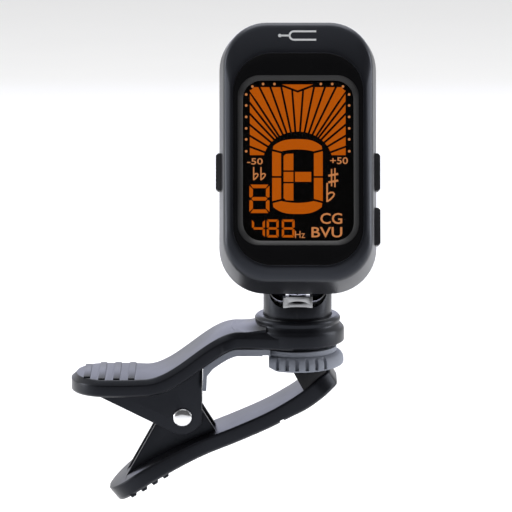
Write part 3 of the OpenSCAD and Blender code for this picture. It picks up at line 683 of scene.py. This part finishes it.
def swivel_base():
    base = lathe("swivel_base_moulding", rounded([
        (0.01, SPIGOT_END), (SPIGOT_R, SPIGOT_END), (SPIGOT_R, BASE_FOOT), (SWIVEL_R, BASE_FOOT),
        (SWIVEL_R, CHEEK_Z), (0.01, CHEEK_Z)], [0, 0.2, 0, 0.3, 0.35, 0], closed=False))
    inner = CUT_HALF - CUT_CORNER
    low = CUT_FLOOR + CUT_CORNER
    outline = [(CUT_HALF, 20)] + arc((inner, low), CUT_CORNER, 0, -90, 10)
    outline += arc((-inner, low), CUT_CORNER, -90, -180, 10) + [(-CUT_HALF, 20)]
    boolean(base, "DIFFERENCE", prism("slot", outline, -9, 9),
            rod("screw_hole", 0.8, SPIGOT_END - 1, SPIGOT_END + 3, "Z", (0, 0, 0)),
            rod("bracket_hole", 0.8, CUT_FLOOR - 2.6, CUT_FLOOR + 1.4, "Z",
                (0, BRACKET_SCREW_Y, 0)))
    bevel(base, 0.12, angle=40)
    place(base, CLIP_BLACK, "swivel", "swivel_base", slot="black_clip")


def hinge_bracket():
    """Bent from one sheet: a floor, a front wall with a lens-shaped slot, and two ears."""
    foot = CUT_FLOOR + 0.02
    top = 16.6
    floor = block("hinge_bracket_steel", (-BRACKET_HALF, BRACKET_FRONT, foot),
                  (BRACKET_HALF, 3.2, CUT_FLOOR + SHEET))
    front = block("front", (-BRACKET_HALF, BRACKET_FRONT, foot),
                  (BRACKET_HALF, BRACKET_FRONT + SHEET, top))
    r = 2.6
    ear = [(BRACKET_FRONT, foot), (BRACKET_FRONT, top), (-4.2, 17.6), (-r, 19.6)]
    ear += arc((0, HINGE_Z), r, 180, 0, 16) + [(3.2, foot)]
    ears = []
    for x in (-BRACKET_HALF, BRACKET_HALF - SHEET):
        ears.append(skin("ear", [[(xx, y, z) for y, z in ear] for xx in (x, x + SHEET)]))
    boolean(floor, "UNION", front, *ears)
    r = LENS_R
    lens = [(r * math.sin(t), LENS_Z + 0.27 - r + r * math.cos(t))
            for t in (math.radians(LENS_ANGLE * (i / 10 - 1)) for i in range(21))]
    lens += [(x, 2 * LENS_Z - z) for x, z in reversed(lens[1:-1])]
    boolean(floor, "DIFFERENCE", prism("lens", lens, BRACKET_FRONT - 1, BRACKET_FRONT + 1),
            rod("pin_bore", PIN_R + 0.02, -9, 9, "X", (0, 0, HINGE_Z)),
            rod("screw_hole", 1.05, CUT_FLOOR - 1, CUT_FLOOR + 2, "Z", (0, BRACKET_SCREW_Y, 0)))
    bevel(floor, 0.1, segments=2, angle=40)
    place(floor, BRACKET_STEEL, "swivel", "hinge_bracket", slot="steel")


# ---------------------------------------------------------------- head, in its own frame

# x across, y from the front (negative) to the back, z up along the head from the tilt axis
PLATE_Y, RIM_Y, PART_Y, BACK_Y = -18.6, -17.45, -8.45, -4.25
PLATE = (14.63, -0.65, 46.9, 9)          # half width, lowest and highest z, corner radius
RIM = (16.1, -3.2, 53.15, 9.4)
PARTING = (17.05, -5.06, 54.03, 10)
FACE = (13.98, 0.05, 46.15, 8.35)
FRAME_OUT = (13.1, 4.3, 41.35, 4.8)
WINDOW_EDGE = (11.95, 5.4, 40.25, 4)
WALL = 1.5
INSIDE = (PARTING[0] - WALL, -3.4, 52.5, PARTING[3] - WALL)
OPENING = (13.15, 3.8, 41.8, 4.6)        # the front shell's hole behind the window
OPENING_BACK_Y = -16.3
EAR_ROOM_R = 7.9
CELL_Z, CELL_R, DOOR_R = 22.4, 10, 11.5
SCREW_PLACES = [(x, z) for x in (-9.5, 9.5) for z in (0.2, 48.4)]
BUTTON_Y, BUTTON_HALF_Y, BUTTON_FACE = -11, 1.3, 17.85
KNUCKLE_R = 4.2


def outline(size, y, grow=0, bow=0):
    """A rounded rectangle at a depth, its long sides bowed out a little."""
    half, z0, z1, r = size[0] + grow, size[1] - grow, size[2] + grow, size[3] + grow
    mid, tall, steps = (z0 + z1) / 2, (z1 - z0) / 2, 12
    points = []
    for q in range(4):
        for i in range(steps + 1):
            a = math.radians(q * 90 + i * 90 / steps)
            x = (1 if q in (0, 3) else -1) * (half - r) + r * math.cos(a)
            h = (1 if q < 2 else -1) * (tall - r) + r * math.sin(a)
            points.append((x * (1 + bow * (1 - (h / tall) ** 2)), y, mid + h))
    return points


def front_housing():
    seat = PLATE_Y + 0.9
    rings = [outline(PARTING, PART_Y, bow=0.004), outline(RIM, RIM_Y, bow=0.004),
             outline(PLATE, PLATE_Y), outline(FACE, PLATE_Y, 0.06), outline(FACE, seat, 0.06),
             outline(OPENING, seat), outline(OPENING, OPENING_BACK_Y),
             outline((14.4, -1.4, 51.2, 7.9), OPENING_BACK_Y), outline(INSIDE, PART_Y)]
    rings = round_rings(rings, [0, 1.5, 1.3, 0.12, 0.05, 0.1, 0.1, 0.8, 0], steps=5)
    shell = skin("front_housing_shell", rings, ends="loop")
    for z0, z1, side in BUTTONS.values():
        low = (min(side * 13, side * 19), BUTTON_Y - BUTTON_HALF_Y - 0.08, z0 - 0.08)
        high = (max(side * 13, side * 19), BUTTON_Y + BUTTON_HALF_Y + 0.08, z1 + 0.08)
        boolean(shell, "DIFFERENCE", block("slot", low, high))
    place(shell, SHELL_BLACK, "head", "front_housing", slot="black_shell", matrix=HEAD, sharp=30)


def face_plate():
    """A flat black plate; its window has a sloped edge."""
    rings = [outline(FACE, PLATE_Y + 0.88), outline(FACE, PLATE_Y), outline(FRAME_OUT, PLATE_Y),
             outline(FRAME_OUT, PLATE_Y + 0.88)]
    rings = round_rings(rings, [0, 0.15, 0.04, 0], steps=3)
    plate = skin("face_plate_panel", rings, ends="loop")
    place(plate, FACE_BLACK, "head", "face_plate", slot="face_black", matrix=HEAD)
    rings = [outline(FRAME_OUT, PLATE_Y + 0.88, -0.02), outline(FRAME_OUT, PLATE_Y + 0.02, -0.02),
             outline(WINDOW_EDGE, PLATE_Y + 0.72), outline(WINDOW_EDGE, PLATE_Y + 0.88)]
    rings = round_rings(rings, [0, 0.08, 0.06, 0], steps=3)
    frame_ring = skin("window_frame", rings, ends="loop")
    place(frame_ring, FRAME_GREY, "head", slot="face_black", matrix=HEAD)


# side buttons: lowest z, highest z, side
BUTTONS = {"power": (17, 25.2, -1), "mode": (17, 25.2, 1), "pitch": (5.1, 13.3, 1)}


def side_button(name):
    z0, z1, side = BUTTONS[name]
    key = block(name + "_button_key", (13.9, BUTTON_Y - BUTTON_HALF_Y, z0),
                (BUTTON_FACE, BUTTON_Y + BUTTON_HALF_Y, z1))
    for z, turn in ((z0, 1), (z1, -1)):
        corner = block("corner", (-0.7, -3, -0.7), (0.7, 3, 0.7))
        spot = Matrix.Translation((BUTTON_FACE + 0.25, BUTTON_Y, z - turn * 0.25))
        corner.data.transform(spot @ Matrix.Rotation(math.radians(45), 4, "Y"))
        boolean(key, "DIFFERENCE", corner)
    flange = block("flange", (13.4, BUTTON_Y - 1.9, z0 - 0.7), (14.25, BUTTON_Y + 1.9, z1 + 0.7))
    mid = (z0 + z1) / 2
    pin = block("pin", (13.35, BUTTON_Y - 0.6, mid - 1.1), (13.6, BUTTON_Y + 0.6, mid + 1.1))
    boolean(key, "UNION", flange, pin)
    bevel(key, 0.22, segments=3)
    if side < 0:
        mirrored(key, (1, 0, 0))
    place(key, BUTTON_BLACK, name + "_key", name + "_button", slot="black_shell", matrix=HEAD)


def hinge_drum(side):
    """Fills the clevis slot beside the bracket; its shoulder follows the slot's corner."""
    start, end, inner = BRACKET_HALF + 0.08, CUT_HALF - 0.15, CUT_HALF - CUT_CORNER
    core = HINGE_Z - CUT_FLOOR - CUT_CORNER - 0.25
    xs = [start + (end - start) * i / 10 for i in range(11)]
    profile = [(core + math.sqrt(CUT_CORNER ** 2 - max(0, x - inner) ** 2), x) for x in xs]
    drum = lathe("drum", [(0.01, start)] + profile + [(0.01, end)], "X", (0, 0, 0), 96)
    return drum if side > 0 else mirrored(drum, (1, 0, 0))


def rear_housing():
    rings = [outline(INSIDE, PART_Y + 0.02), outline(PARTING, PART_Y + 0.02, 0.03, 0.004),
             outline((16.4, -4.3, 53.3, 9.4), -6.2, bow=0.004),
             outline((15.3, -3, 52, 8.6), BACK_Y, bow=0.002)]
    outer = round_rings(rings, [0, 0.1, 0.8, 0.9], steps=5)
    shell = skin("rear_housing_shell", outer)
    hollow = skin("hollow", [outline(INSIDE, PART_Y - 1),
                             outline((14.3, -2, 51, 7.8), BACK_Y - WALL)])
    boolean(shell, "DIFFERENCE", hollow)
    ring = lathe("cell_wall", [(CELL_R + 0.4, PART_Y + 0.1), (DOOR_R + 1, PART_Y + 0.1),
                               (DOOR_R + 1, BACK_Y - 0.5), (CELL_R + 0.4, BACK_Y - 0.5)],
                 "Y", (0, 0, CELL_Z))
    boolean(ring, "DIFFERENCE", rod("cell_room", CELL_R + 0.4, -10, 0, "Y", (0, 0, CELL_Z), 96),
            block("contact_room", (-3, -10, 32), (3, -5.5, 35)))
    half = BRACKET_HALF - SHEET - 0.05
    knuckle = rod("knuckle", KNUCKLE_R, -half, half, "X", (0, 0, 0), 64)
    posts = [rod("post", 2, PART_Y + 0.1, -5, "Y", (x, 0, z)) for x, z in SCREW_PLACES]
    web = block("web", (-half, BACK_Y - WALL + 0.2, 0), (half, 0, KNUCKLE_R - 0.3))
    boolean(shell, "UNION", ring, knuckle, web, hinge_drum(1), hinge_drum(-1), *posts)
    boolean(shell, "DIFFERENCE", rod("pin_bore", PIN_R + 0.05, -9, 9, "X", (0, 0, 0)),
            rod("pin_head_room", PIN_HEAD_R, -BRACKET_HALF - 0.7, BRACKET_HALF + 0.7, "X",
                (0, 0, 0)),
            rod("door_seat", DOOR_R + 0.05, BACK_Y - 1.35, 0, "Y", (0, 0, CELL_Z), 96),
            rod("door_room", CELL_R + 0.4, BACK_Y - 2, 0, "Y", (0, 0, CELL_Z), 96),
            rod("left_ear_room", EAR_ROOM_R, -BRACKET_HALF - 0.05, -BRACKET_HALF + 0.55, "X",
                (0, 0, 0)),
            rod("right_ear_room", EAR_ROOM_R, BRACKET_HALF - 0.55, BRACKET_HALF + 0.05, "X",
                (0, 0, 0)),
            block("front_room", (-3.5, -8.4, -6), (3.5, -5.9, -2.4)),
            *[rod("screw_seat", 1.7, -5.3, 0, "Y", (x, 0, z)) for x, z in SCREW_PLACES])
    place(shell, SHELL_BLACK, "head", "rear_housing", slot="black_shell", matrix=HEAD, sharp=30)


def battery_door():
    door = lathe("battery_door_cap", rounded([
        (0.01, BACK_Y - 1.6), (CELL_R, BACK_Y - 1.6), (CELL_R, BACK_Y - 1.3),
        (DOOR_R - 0.05, BACK_Y - 1.3), (DOOR_R - 0.05, BACK_Y), (9.4, BACK_Y),
        (9.1, BACK_Y - 0.25), (0.01, BACK_Y - 0.25)], [0, 0, 0, 0, 0.3, 0.12, 0.12, 0],
        closed=False),
        "Y", (0, 0, CELL_Z))
    bar = prism("coin_bar", [(-6.5, CELL_Z - 2), (6.5, CELL_Z - 2), (6.5, CELL_Z + 2),
                             (-6.5, CELL_Z + 2)], BACK_Y - 0.4, BACK_Y)
    boolean(door, "UNION", bevel(bar, 0.3))
    slot = prism("coin_slot", rounded([(-5, CELL_Z - 0.8), (5, CELL_Z - 0.8), (5, CELL_Z + 0.8),
                                       (-5, CELL_Z + 0.8)], 0.6), BACK_Y - 0.9, BACK_Y + 1)
    boolean(door, "DIFFERENCE", slot)
    place(door, SHELL_BLACK, "door", "battery_door", slot="black_shell", matrix=HEAD)


swivel_base()
hinge_bracket()
front_housing()
face_plate()
for button in BUTTONS:
    side_button(button)
rear_housing()
battery_door()


# ---------------------------------------------------------------- what the display shows

GLASS_Y = -16.8                  # front of the LCD panel
ART_Y = (GLASS_Y - 0.05, GLASS_Y - 0.01)
ART_PLACE = Matrix.Translation((-0.1, 0, 0.18)) @ Matrix.Scale(0.985, 4, (1, 0, 0))
FAN_TOP, FAN_BOTTOM, FAN_HALF = 38.8, 23.96, 10.5
FAN_HUB = (0, 21.9)              # where the gaps between the blades meet
FAN_EYE = (0, 22.5, 7.6, 6.6)    # ellipse that the blades stand on: x, z, half axes
FAN_GAP = 0.45
V_TIP, V_RISE = 37.6, 0.38       # the notch under the pointer


def join(name, objects):
    """One mesh from many."""
    verts, faces = [], []
    for obj in objects:
        faces += [tuple(i + len(verts) for i in p.vertices) for p in obj.data.polygons]
        verts += [v.co.copy() for v in obj.data.vertices]
        bpy.data.objects.remove(obj)
    return new_object(name, verts, faces)


def fan_line(point, shift):
    """The gap line through a point of the fan's frame, moved sideways: origin, direction."""
    to_hub = (Vector(FAN_HUB) - Vector(point)).normalized()
    side = Vector((-to_hub.y, to_hub.x))
    return Vector(point) + side * shift, to_hub


def on_frame(line):
    """Where a line leaves the fan's frame at its top or sides."""
    (x, z), (dx, dz) = line
    steps = []
    if abs(dx) > 1e-6:
        steps += [(s * FAN_HALF - x) / dx for s in (-1, 1)]
    if abs(dz) > 1e-6:
        steps.append((FAN_TOP - z) / dz)
    best = None
    for t in steps:
        px, pz = x + dx * t, z + dz * t
        if abs(px) <= FAN_HALF + 1e-6 and pz <= FAN_TOP + 1e-6 and t < 3:
            if best is None or t < best[0]:
                best = (t, (px, pz))
    return best[1]


def on_eye(line):
    (x, z), (dx, dz) = line
    cx, cz, a, b = FAN_EYE
    x, z = x - cx, z - cz
    k2 = (dx / a) ** 2 + (dz / b) ** 2
    k1 = x * dx / a ** 2 + z * dz / b ** 2
    k0 = (x / a) ** 2 + (z / b) ** 2 - 1
    t = (-k1 - math.sqrt(k1 * k1 - k2 * k0)) / k2
    return x + cx + dx * t, z + cz + dz * t


def fan():
    """Twenty-one blades between gaps that run to the hub, notched under the pointer."""
    side_z = [FAN_BOTTOM + 1.84 + 2.39 * i for i in range(6)]
    across = [-8.4 + 2.4 * i for i in range(8)]
    marks = [(-FAN_HALF, z) for z in side_z] + [(x, FAN_TOP) for x in across]
    marks += [(FAN_HALF, z) for z in reversed(side_z)]
    blades = []
    for i in range(len(marks) + 1):
        flat = (Vector((0, FAN_BOTTOM)), Vector((1 if i == 0 else -1, 0)))
        first = fan_line(marks[i - 1], FAN_GAP / 2) if i else flat
        last = fan_line(marks[i], -FAN_GAP / 2) if i < len(marks) else flat
        a = on_frame(first) if i else (-FAN_HALF, FAN_BOTTOM)
        b = on_frame(last) if i < len(marks) else (FAN_HALF, FAN_BOTTOM)
        low_left = Vector((-FAN_HALF, FAN_BOTTOM)), Vector((1, 0))
        low_right = Vector((FAN_HALF, FAN_BOTTOM)), Vector((-1, 0))
        inner_a = on_eye(first if i else low_left)
        inner_b = on_eye(last if i < len(marks) else low_right)
        rim = [a]
        if a[1] < FAN_TOP - 0.01 <= b[1]:
            rim += [(-FAN_HALF, FAN_TOP - 0.9), (-FAN_HALF + 0.9, FAN_TOP)]
        if b[1] < FAN_TOP - 0.01 <= a[1]:
            rim += [(FAN_HALF - 0.9, FAN_TOP), (FAN_HALF, FAN_TOP - 0.9)]
        edge = (FAN_TOP - V_TIP) / V_RISE
        rim += [(x, FAN_TOP) for x in (-edge, 0, edge) if a[1] > 38 and a[0] < x < b[0]]
        rim.append(b)
        rim = [(x, min(z, V_TIP + V_RISE * abs(x))) if z > 38 else (x, z) for x, z in rim]
        floor = [inner_b, inner_a]
        blades.append(prism("blade", rim + floor, *ART_Y))
    return blades


def seven_segment(x, z, w, h, t, lit="abcdefg", cut=0.12):
    """Bars of a seven-segment digit whose lower left corner is at x, z."""
    m = z + h / 2
    bars = {
        "a": [(x + cut, z + h), (x + w - cut, z + h), (x + w - t, z + h - t), (x + t, z + h - t)],
        "d": [(x + cut, z), (x + w - cut, z), (x + w - t, z + t), (x + t, z + t)],
        "g": [(x + t * 0.6, m), (x + t, m + t / 2), (x + w - t, m + t / 2), (x + w - t * 0.6, m),
              (x + w - t, m - t / 2), (x + t, m - t / 2)]}
    for key, s, low in (("f", 0, 0), ("e", 0, 1), ("b", 1, 0), ("c", 1, 1)):
        bar = [(0, h - cut), (t, h - t - cut), (t, h / 2 + t / 2 + cut), (t / 2, h / 2 + cut),
               (0, h / 2 + t / 2)]
        bar = [(w - px if s else px, h - pz if low else pz) for px, pz in bar]
        bars[key] = [(x + px, z + pz) for px, pz in bar]
    return [prism("bar", bars[key], *ART_Y) for key in lit]


def big_digit():
    """The note display: outer bars, and the short bars and cells inside them."""
    x0, x1, t = -5.6, 5.48, 1.95
    mid, g = 19.2, 0.2
    shapes = []
    for s, end, inner in ((1, 8.24, 6.0), (-1, 8.05, 5.65)):
        outer = [(x, end - 1.5 * abs(x / 5.3) ** 3) for x in (0.53 * i for i in range(-10, 11))]
        under = [(x, inner - 0.35 * (x / 3.3) ** 2) for x in (0.55 * i for i in range(6, -7, -1))]
        arch = (outer + [(5.4, inner + 0.05), (3.5, inner - 0.42)] + under
                + [(-3.5, inner - 0.42), (-5.4, inner + 0.05)])
        bars = [[(x0, g), (x0, inner - 0.38), (x0 + t, inner - 0.88), (x0 + t, g)],
                [(x1, g), (x1, inner - 0.38), (x1 - t, inner - 0.88), (x1 - t, g)],
                [(x - 0.06, up) for x, up in arch]]
        shapes += [[(x, mid + s * up) for x, up in bar] for bar in bars]
    shapes += [
        [(-3.1, 20.65), (-3.1, 23.75), (-2.6, 24.2), (-0.95, 24.3), (-0.95, 20.65)],
        [(-3.1, 17.8), (-3.1, 14.6), (-2.6, 14.15), (-0.95, 14.05), (-0.95, 17.8)],
        [(-3.1, 18.15), (-3.1, 20.3), (-0.95, 20.3), (-0.95, 18.15)],
        [(-0.6, 18.15), (-0.6, 20.3), (2.95, 20.3), (2.95, 18.15)]]
    return [prism("bar", shape, *ART_Y) for shape in shapes]


def text(letters, x0, x1, z0, z1, bold=0.0):
    """Letters as a mesh, stretched to fill a box."""
    curve = bpy.data.curves.new("letters", "FONT")
    curve.body = letters
    curve.resolution_u = 3
    curve.offset = bold
    curve.extrude = 0.02
    obj = bpy.data.objects.new("letters", curve)
    bpy.context.collection.objects.link(obj)
    view = bpy.context.evaluated_depsgraph_get()
    mesh = bpy.data.meshes.new_from_object(obj.evaluated_get(view))
    bpy.data.objects.remove(obj)
    out = bpy.data.objects.new("letters", mesh)
    bpy.context.collection.objects.link(out)
    xs, zs = [v.co.x for v in mesh.vertices], [v.co.y for v in mesh.vertices]
    depth = ART_Y[1] - ART_Y[0]
    for v in mesh.vertices:
        v.co = (x0 + (v.co.x - min(xs)) / (max(xs) - min(xs)) * (x1 - x0),
                ART_Y[0] + (0 if v.co.z > 0 else depth),
                z0 + (v.co.y - min(zs)) / (max(zs) - min(zs)) * (z1 - z0))
    bm = bmesh.new()
    bm.from_mesh(mesh)
    bmesh.ops.remove_doubles(bm, verts=bm.verts, dist=0.002)
    bm.to_mesh(mesh)
    bm.free()
    return out


def stroke(points, width):
    """A flat line of even width through points."""
    pts = [Vector(p) for p in points]
    left, right = [], []
    for i, p in enumerate(pts):
        d = (pts[min(i + 1, len(pts) - 1)] - pts[max(i - 1, 0)]).normalized()
        side = Vector((-d.y, d.x)) * width / 2
        left.append(tuple(p + side))
        right.append(tuple(p - side))
    return prism("stroke", left + right[::-1], *ART_Y)


def flat_sign(x0, x1, z0, z1, width):
    w, h = x1 - x0, z1 - z0
    curve = (0, 0.06), (0.45, 0.28), (0.85, 0.6), (0.98, 0.85), (0.8, 1.0), (0.45, 1.0), (0, 0.78)
    bowl = [(x0 + width / 2 + w * 0.82 * u, z0 + h * 0.5 * v) for u, v in curve]
    return [stroke([(x0 + width / 2, z0), (x0 + width / 2, z1)], width), stroke(bowl, width)]


def sharp_sign(x0, x1, z0, z1, width):
    w, h = x1 - x0, z1 - z0
    lines = []
    for u in (0.33, 0.67):
        inset = h * (0.04 if u < 0.5 else 0.0)
        lines.append(stroke([(x0 + w * u, z0 + inset), (x0 + w * u, z1 - inset)], width))
    for v in (0.25, 0.6):
        lines.append(stroke([(x0, z0 + h * v), (x1, z0 + h * (v + 0.1))], width * 1.5))
    return lines


def display_art():
    lit = fan() + big_digit()
    lit += seven_segment(-10.6, 11.35, 4.4, 6.2, 0.78, cut=0.26)
    lit += seven_segment(-10.05, 6.05, 2.85, 3.9, 0.5, "bcfg")
    for x, w in ((-6.8, 2.6), (-3.5, 2.8)):
        lit += seven_segment(x, 6.05, w, 3.9, 0.5)
    lit.append(prism("pointer", [(-3.4, 39.4), (3.4, 39.4), (0, 38.1)], *ART_Y))
    place(join("lcd_segments", lit), SEGMENT, "head", slot="lcd_glass", matrix=HEAD @ ART_PLACE)

    marks = [text("Hz", -0.6, 1.57, 5.94, 7.46),
             text("CG", 4.94, 9.72, 8.97, 11.36, 0.012),
             text("BVU", 2.99, 9.72, 6.05, 8.3, 0.012),
             text("-50", -11.1, -7.66, 21.9, 23.3, 0.01),
             text("+50", 7.1, 11.0, 22.0, 23.5, 0.01)]
    marks += flat_sign(-9.8, -8.6, 18.5, 21.35, 0.28) + flat_sign(-8.2, -7.0, 18.5, 21.35, 0.28)
    marks += sharp_sign(6.7, 8.85, 17, 21.1, 0.3) + flat_sign(6.25, 8.2, 13.75, 17.9, 0.36)
    dots = [(11.3, z) for z in (37.2, 34.8, 32.3, 29.8, 27.4, 24.8)]
    dots += [(9.94, 38.95), (7.6, 39.5), (5.1, 39.5)]
    for x, z in dots:
        for s in (-1, 1):
            marks.append(prism("dot", arc((s * x, z), 0.28, 0, 345, 23), *ART_Y))
    place(join("lcd_marks", marks), MARK, "head", slot="lcd_glass", matrix=HEAD @ ART_PLACE)


display_art()


def fork_sign():
    """A tuning fork lying on its side, printed on the bevel above the display."""
    z, r, width = 50.1, 0.95, 0.42
    bend = arc((-0.9, z), r, 90, 270, 12)
    prongs = [(3.9, z + r)] + bend + [(3.9, z - r)]
    parts = [stroke(prongs, width), stroke([(-0.9 - r, z), (-3.7, z)], width),
             prism("knob", arc((-3.95, z), 0.38, 0, 345, 23), *ART_Y)]
    sign = join("fork_sign", parts)
    lean = (RIM_Y - PLATE_Y) / (RIM[2] - PLATE[2])
    middle = sum(ART_Y) / 2
    for v in sign.data.vertices:
        v.co.y += PLATE_Y - 0.012 - middle + lean * (v.co.z - PLATE[2])
    place(sign, PRINT_WHITE, "head", slot="black_shell", matrix=HEAD)


fork_sign()


# ---------------------------------------------------------------- camera, stage and light

CAMERA_AZIMUTH, CAMERA_ELEVATION = 0, 11.2
CAMERA_RIGHT, CAMERA_UP, CAMERA_BACK = -9.11, 23.8, 950  # mm from the origin, on the view's axes
CAMERA_LENS = 303.6
FLOOR_DROP = 0.06                # metres from the object's lowest point to the floor
DARK_SIDE = (0.1, -0.96, 0.25)   # the way that the world darkens
WORLD_BRIGHT, WORLD_DARK = 0.95, 0.11


def view_axes(azimuth, elevation):
    a, e = math.radians(azimuth), math.radians(elevation)
    back = Vector((math.sin(a) * math.cos(e), -math.cos(a) * math.cos(e), math.sin(e)))
    right = Vector((math.cos(a), math.sin(a), 0))
    return right, back.cross(right), back


def make_camera():
    right, up, back = view_axes(CAMERA_AZIMUTH, CAMERA_ELEVATION)
    data = bpy.data.cameras.new("camera")
    data.sensor_width = 36
    data.lens = CAMERA_LENS
    data.clip_end = 20
    camera = bpy.data.objects.new("camera", data)
    bpy.context.collection.objects.link(camera)
    eye = right * CAMERA_RIGHT + up * CAMERA_UP + back * CAMERA_BACK
    turn = Matrix((right, up, back)).transposed().to_4x4()
    camera.matrix_world = Matrix.Translation(eye * MM) @ turn
    bpy.context.scene.camera = camera


def make_stage():
    """A wide, plain, pale floor some way under the object, which is held up by its clip."""
    reach = 6
    z = cad_box[0][2] - FLOOR_DROP
    plan = (-reach, -reach), (reach, -reach), (reach, reach), (-reach, reach)
    corners = [(x, y, z) for x, y in plan]
    floor = new_object("stage_floor", corners, [(0, 1, 2, 3)])
    paper = shade("stage_paper", (0.93, 0.93, 0.935), 0.9, grain=300, bump=0.02, mottle=0.01,
                  specular=0.1)
    floor.data.materials.append(paper)


def area_light(name, at, target, size, power, colour=(1, 1, 1)):
    data = bpy.data.lights.new(name, "AREA")
    data.shape = "RECTANGLE"
    data.size, data.size_y = size
    data.energy = power
    data.color = colour
    light = bpy.data.objects.new(name, data)
    bpy.context.collection.objects.link(light)
    light.visible_camera = False
    light.location = at
    light.rotation_euler = (Vector(target) - Vector(at)).to_track_quat("-Z", "Y").to_euler()


def make_light():
    """A white studio, darker on the display's side, with five soft boxes round the object."""
    world = bpy.data.worlds.new("studio")
    bpy.context.scene.world = world
    world.use_nodes = True
    tree = world.node_tree
    sky = tree.nodes["Background"]
    sky.inputs["Color"].default_value = (1, 1, 1, 1)
    towards = tree.nodes.new("ShaderNodeVectorMath")
    towards.operation = "DOT_PRODUCT"
    towards.inputs[1].default_value = Vector(DARK_SIDE).normalized()
    tree.links.new(tree.nodes.new("ShaderNodeTexCoord").outputs["Generated"], towards.inputs[0])
    level = node(tree, "ShaderNodeMapRange", From_Min=0.1, From_Max=0.8, To_Min=WORLD_BRIGHT,
                 To_Max=WORLD_DARK)
    level.interpolation_type = "SMOOTHSTEP"
    tree.links.new(towards.outputs["Value"], level.inputs["Value"])
    # seen directly, the backdrop is evenly pale
    seen = node(tree, "ShaderNodeMix", B=WORLD_BRIGHT)
    tree.links.new(tree.nodes.new("ShaderNodeLightPath").outputs["Is Camera Ray"],
                   seen.inputs["Factor"])
    tree.links.new(level.outputs["Result"], seen.inputs["A"])
    tree.links.new(seen.outputs["Result"], sky.inputs["Strength"])
    area_light("top_box", (0, 0.3, 0.9), (0, 0, 0.02), (0.9, 0.7), 7.0)
    area_light("front_box", (0, -0.45, 0.8), (0, 0, 0.03), (0.8, 0.25), 0.6)
    area_light("back_box", (0, 0.9, 0.26), (0, 0, 0.03), (1.0, 0.3), 1.4, (0.63, 0.67, 1.0))
    area_light("left_box", (-0.8, 0.04, 0.16), (0, 0, 0.03), (0.34, 0.7), 4.2)
    area_light("right_box", (0.8, 0.04, 0.16), (0, 0, 0.03), (0.34, 0.7), 4.5)
    bpy.context.scene.view_settings.view_transform = "Standard"


make_camera()
make_stage()
make_light()
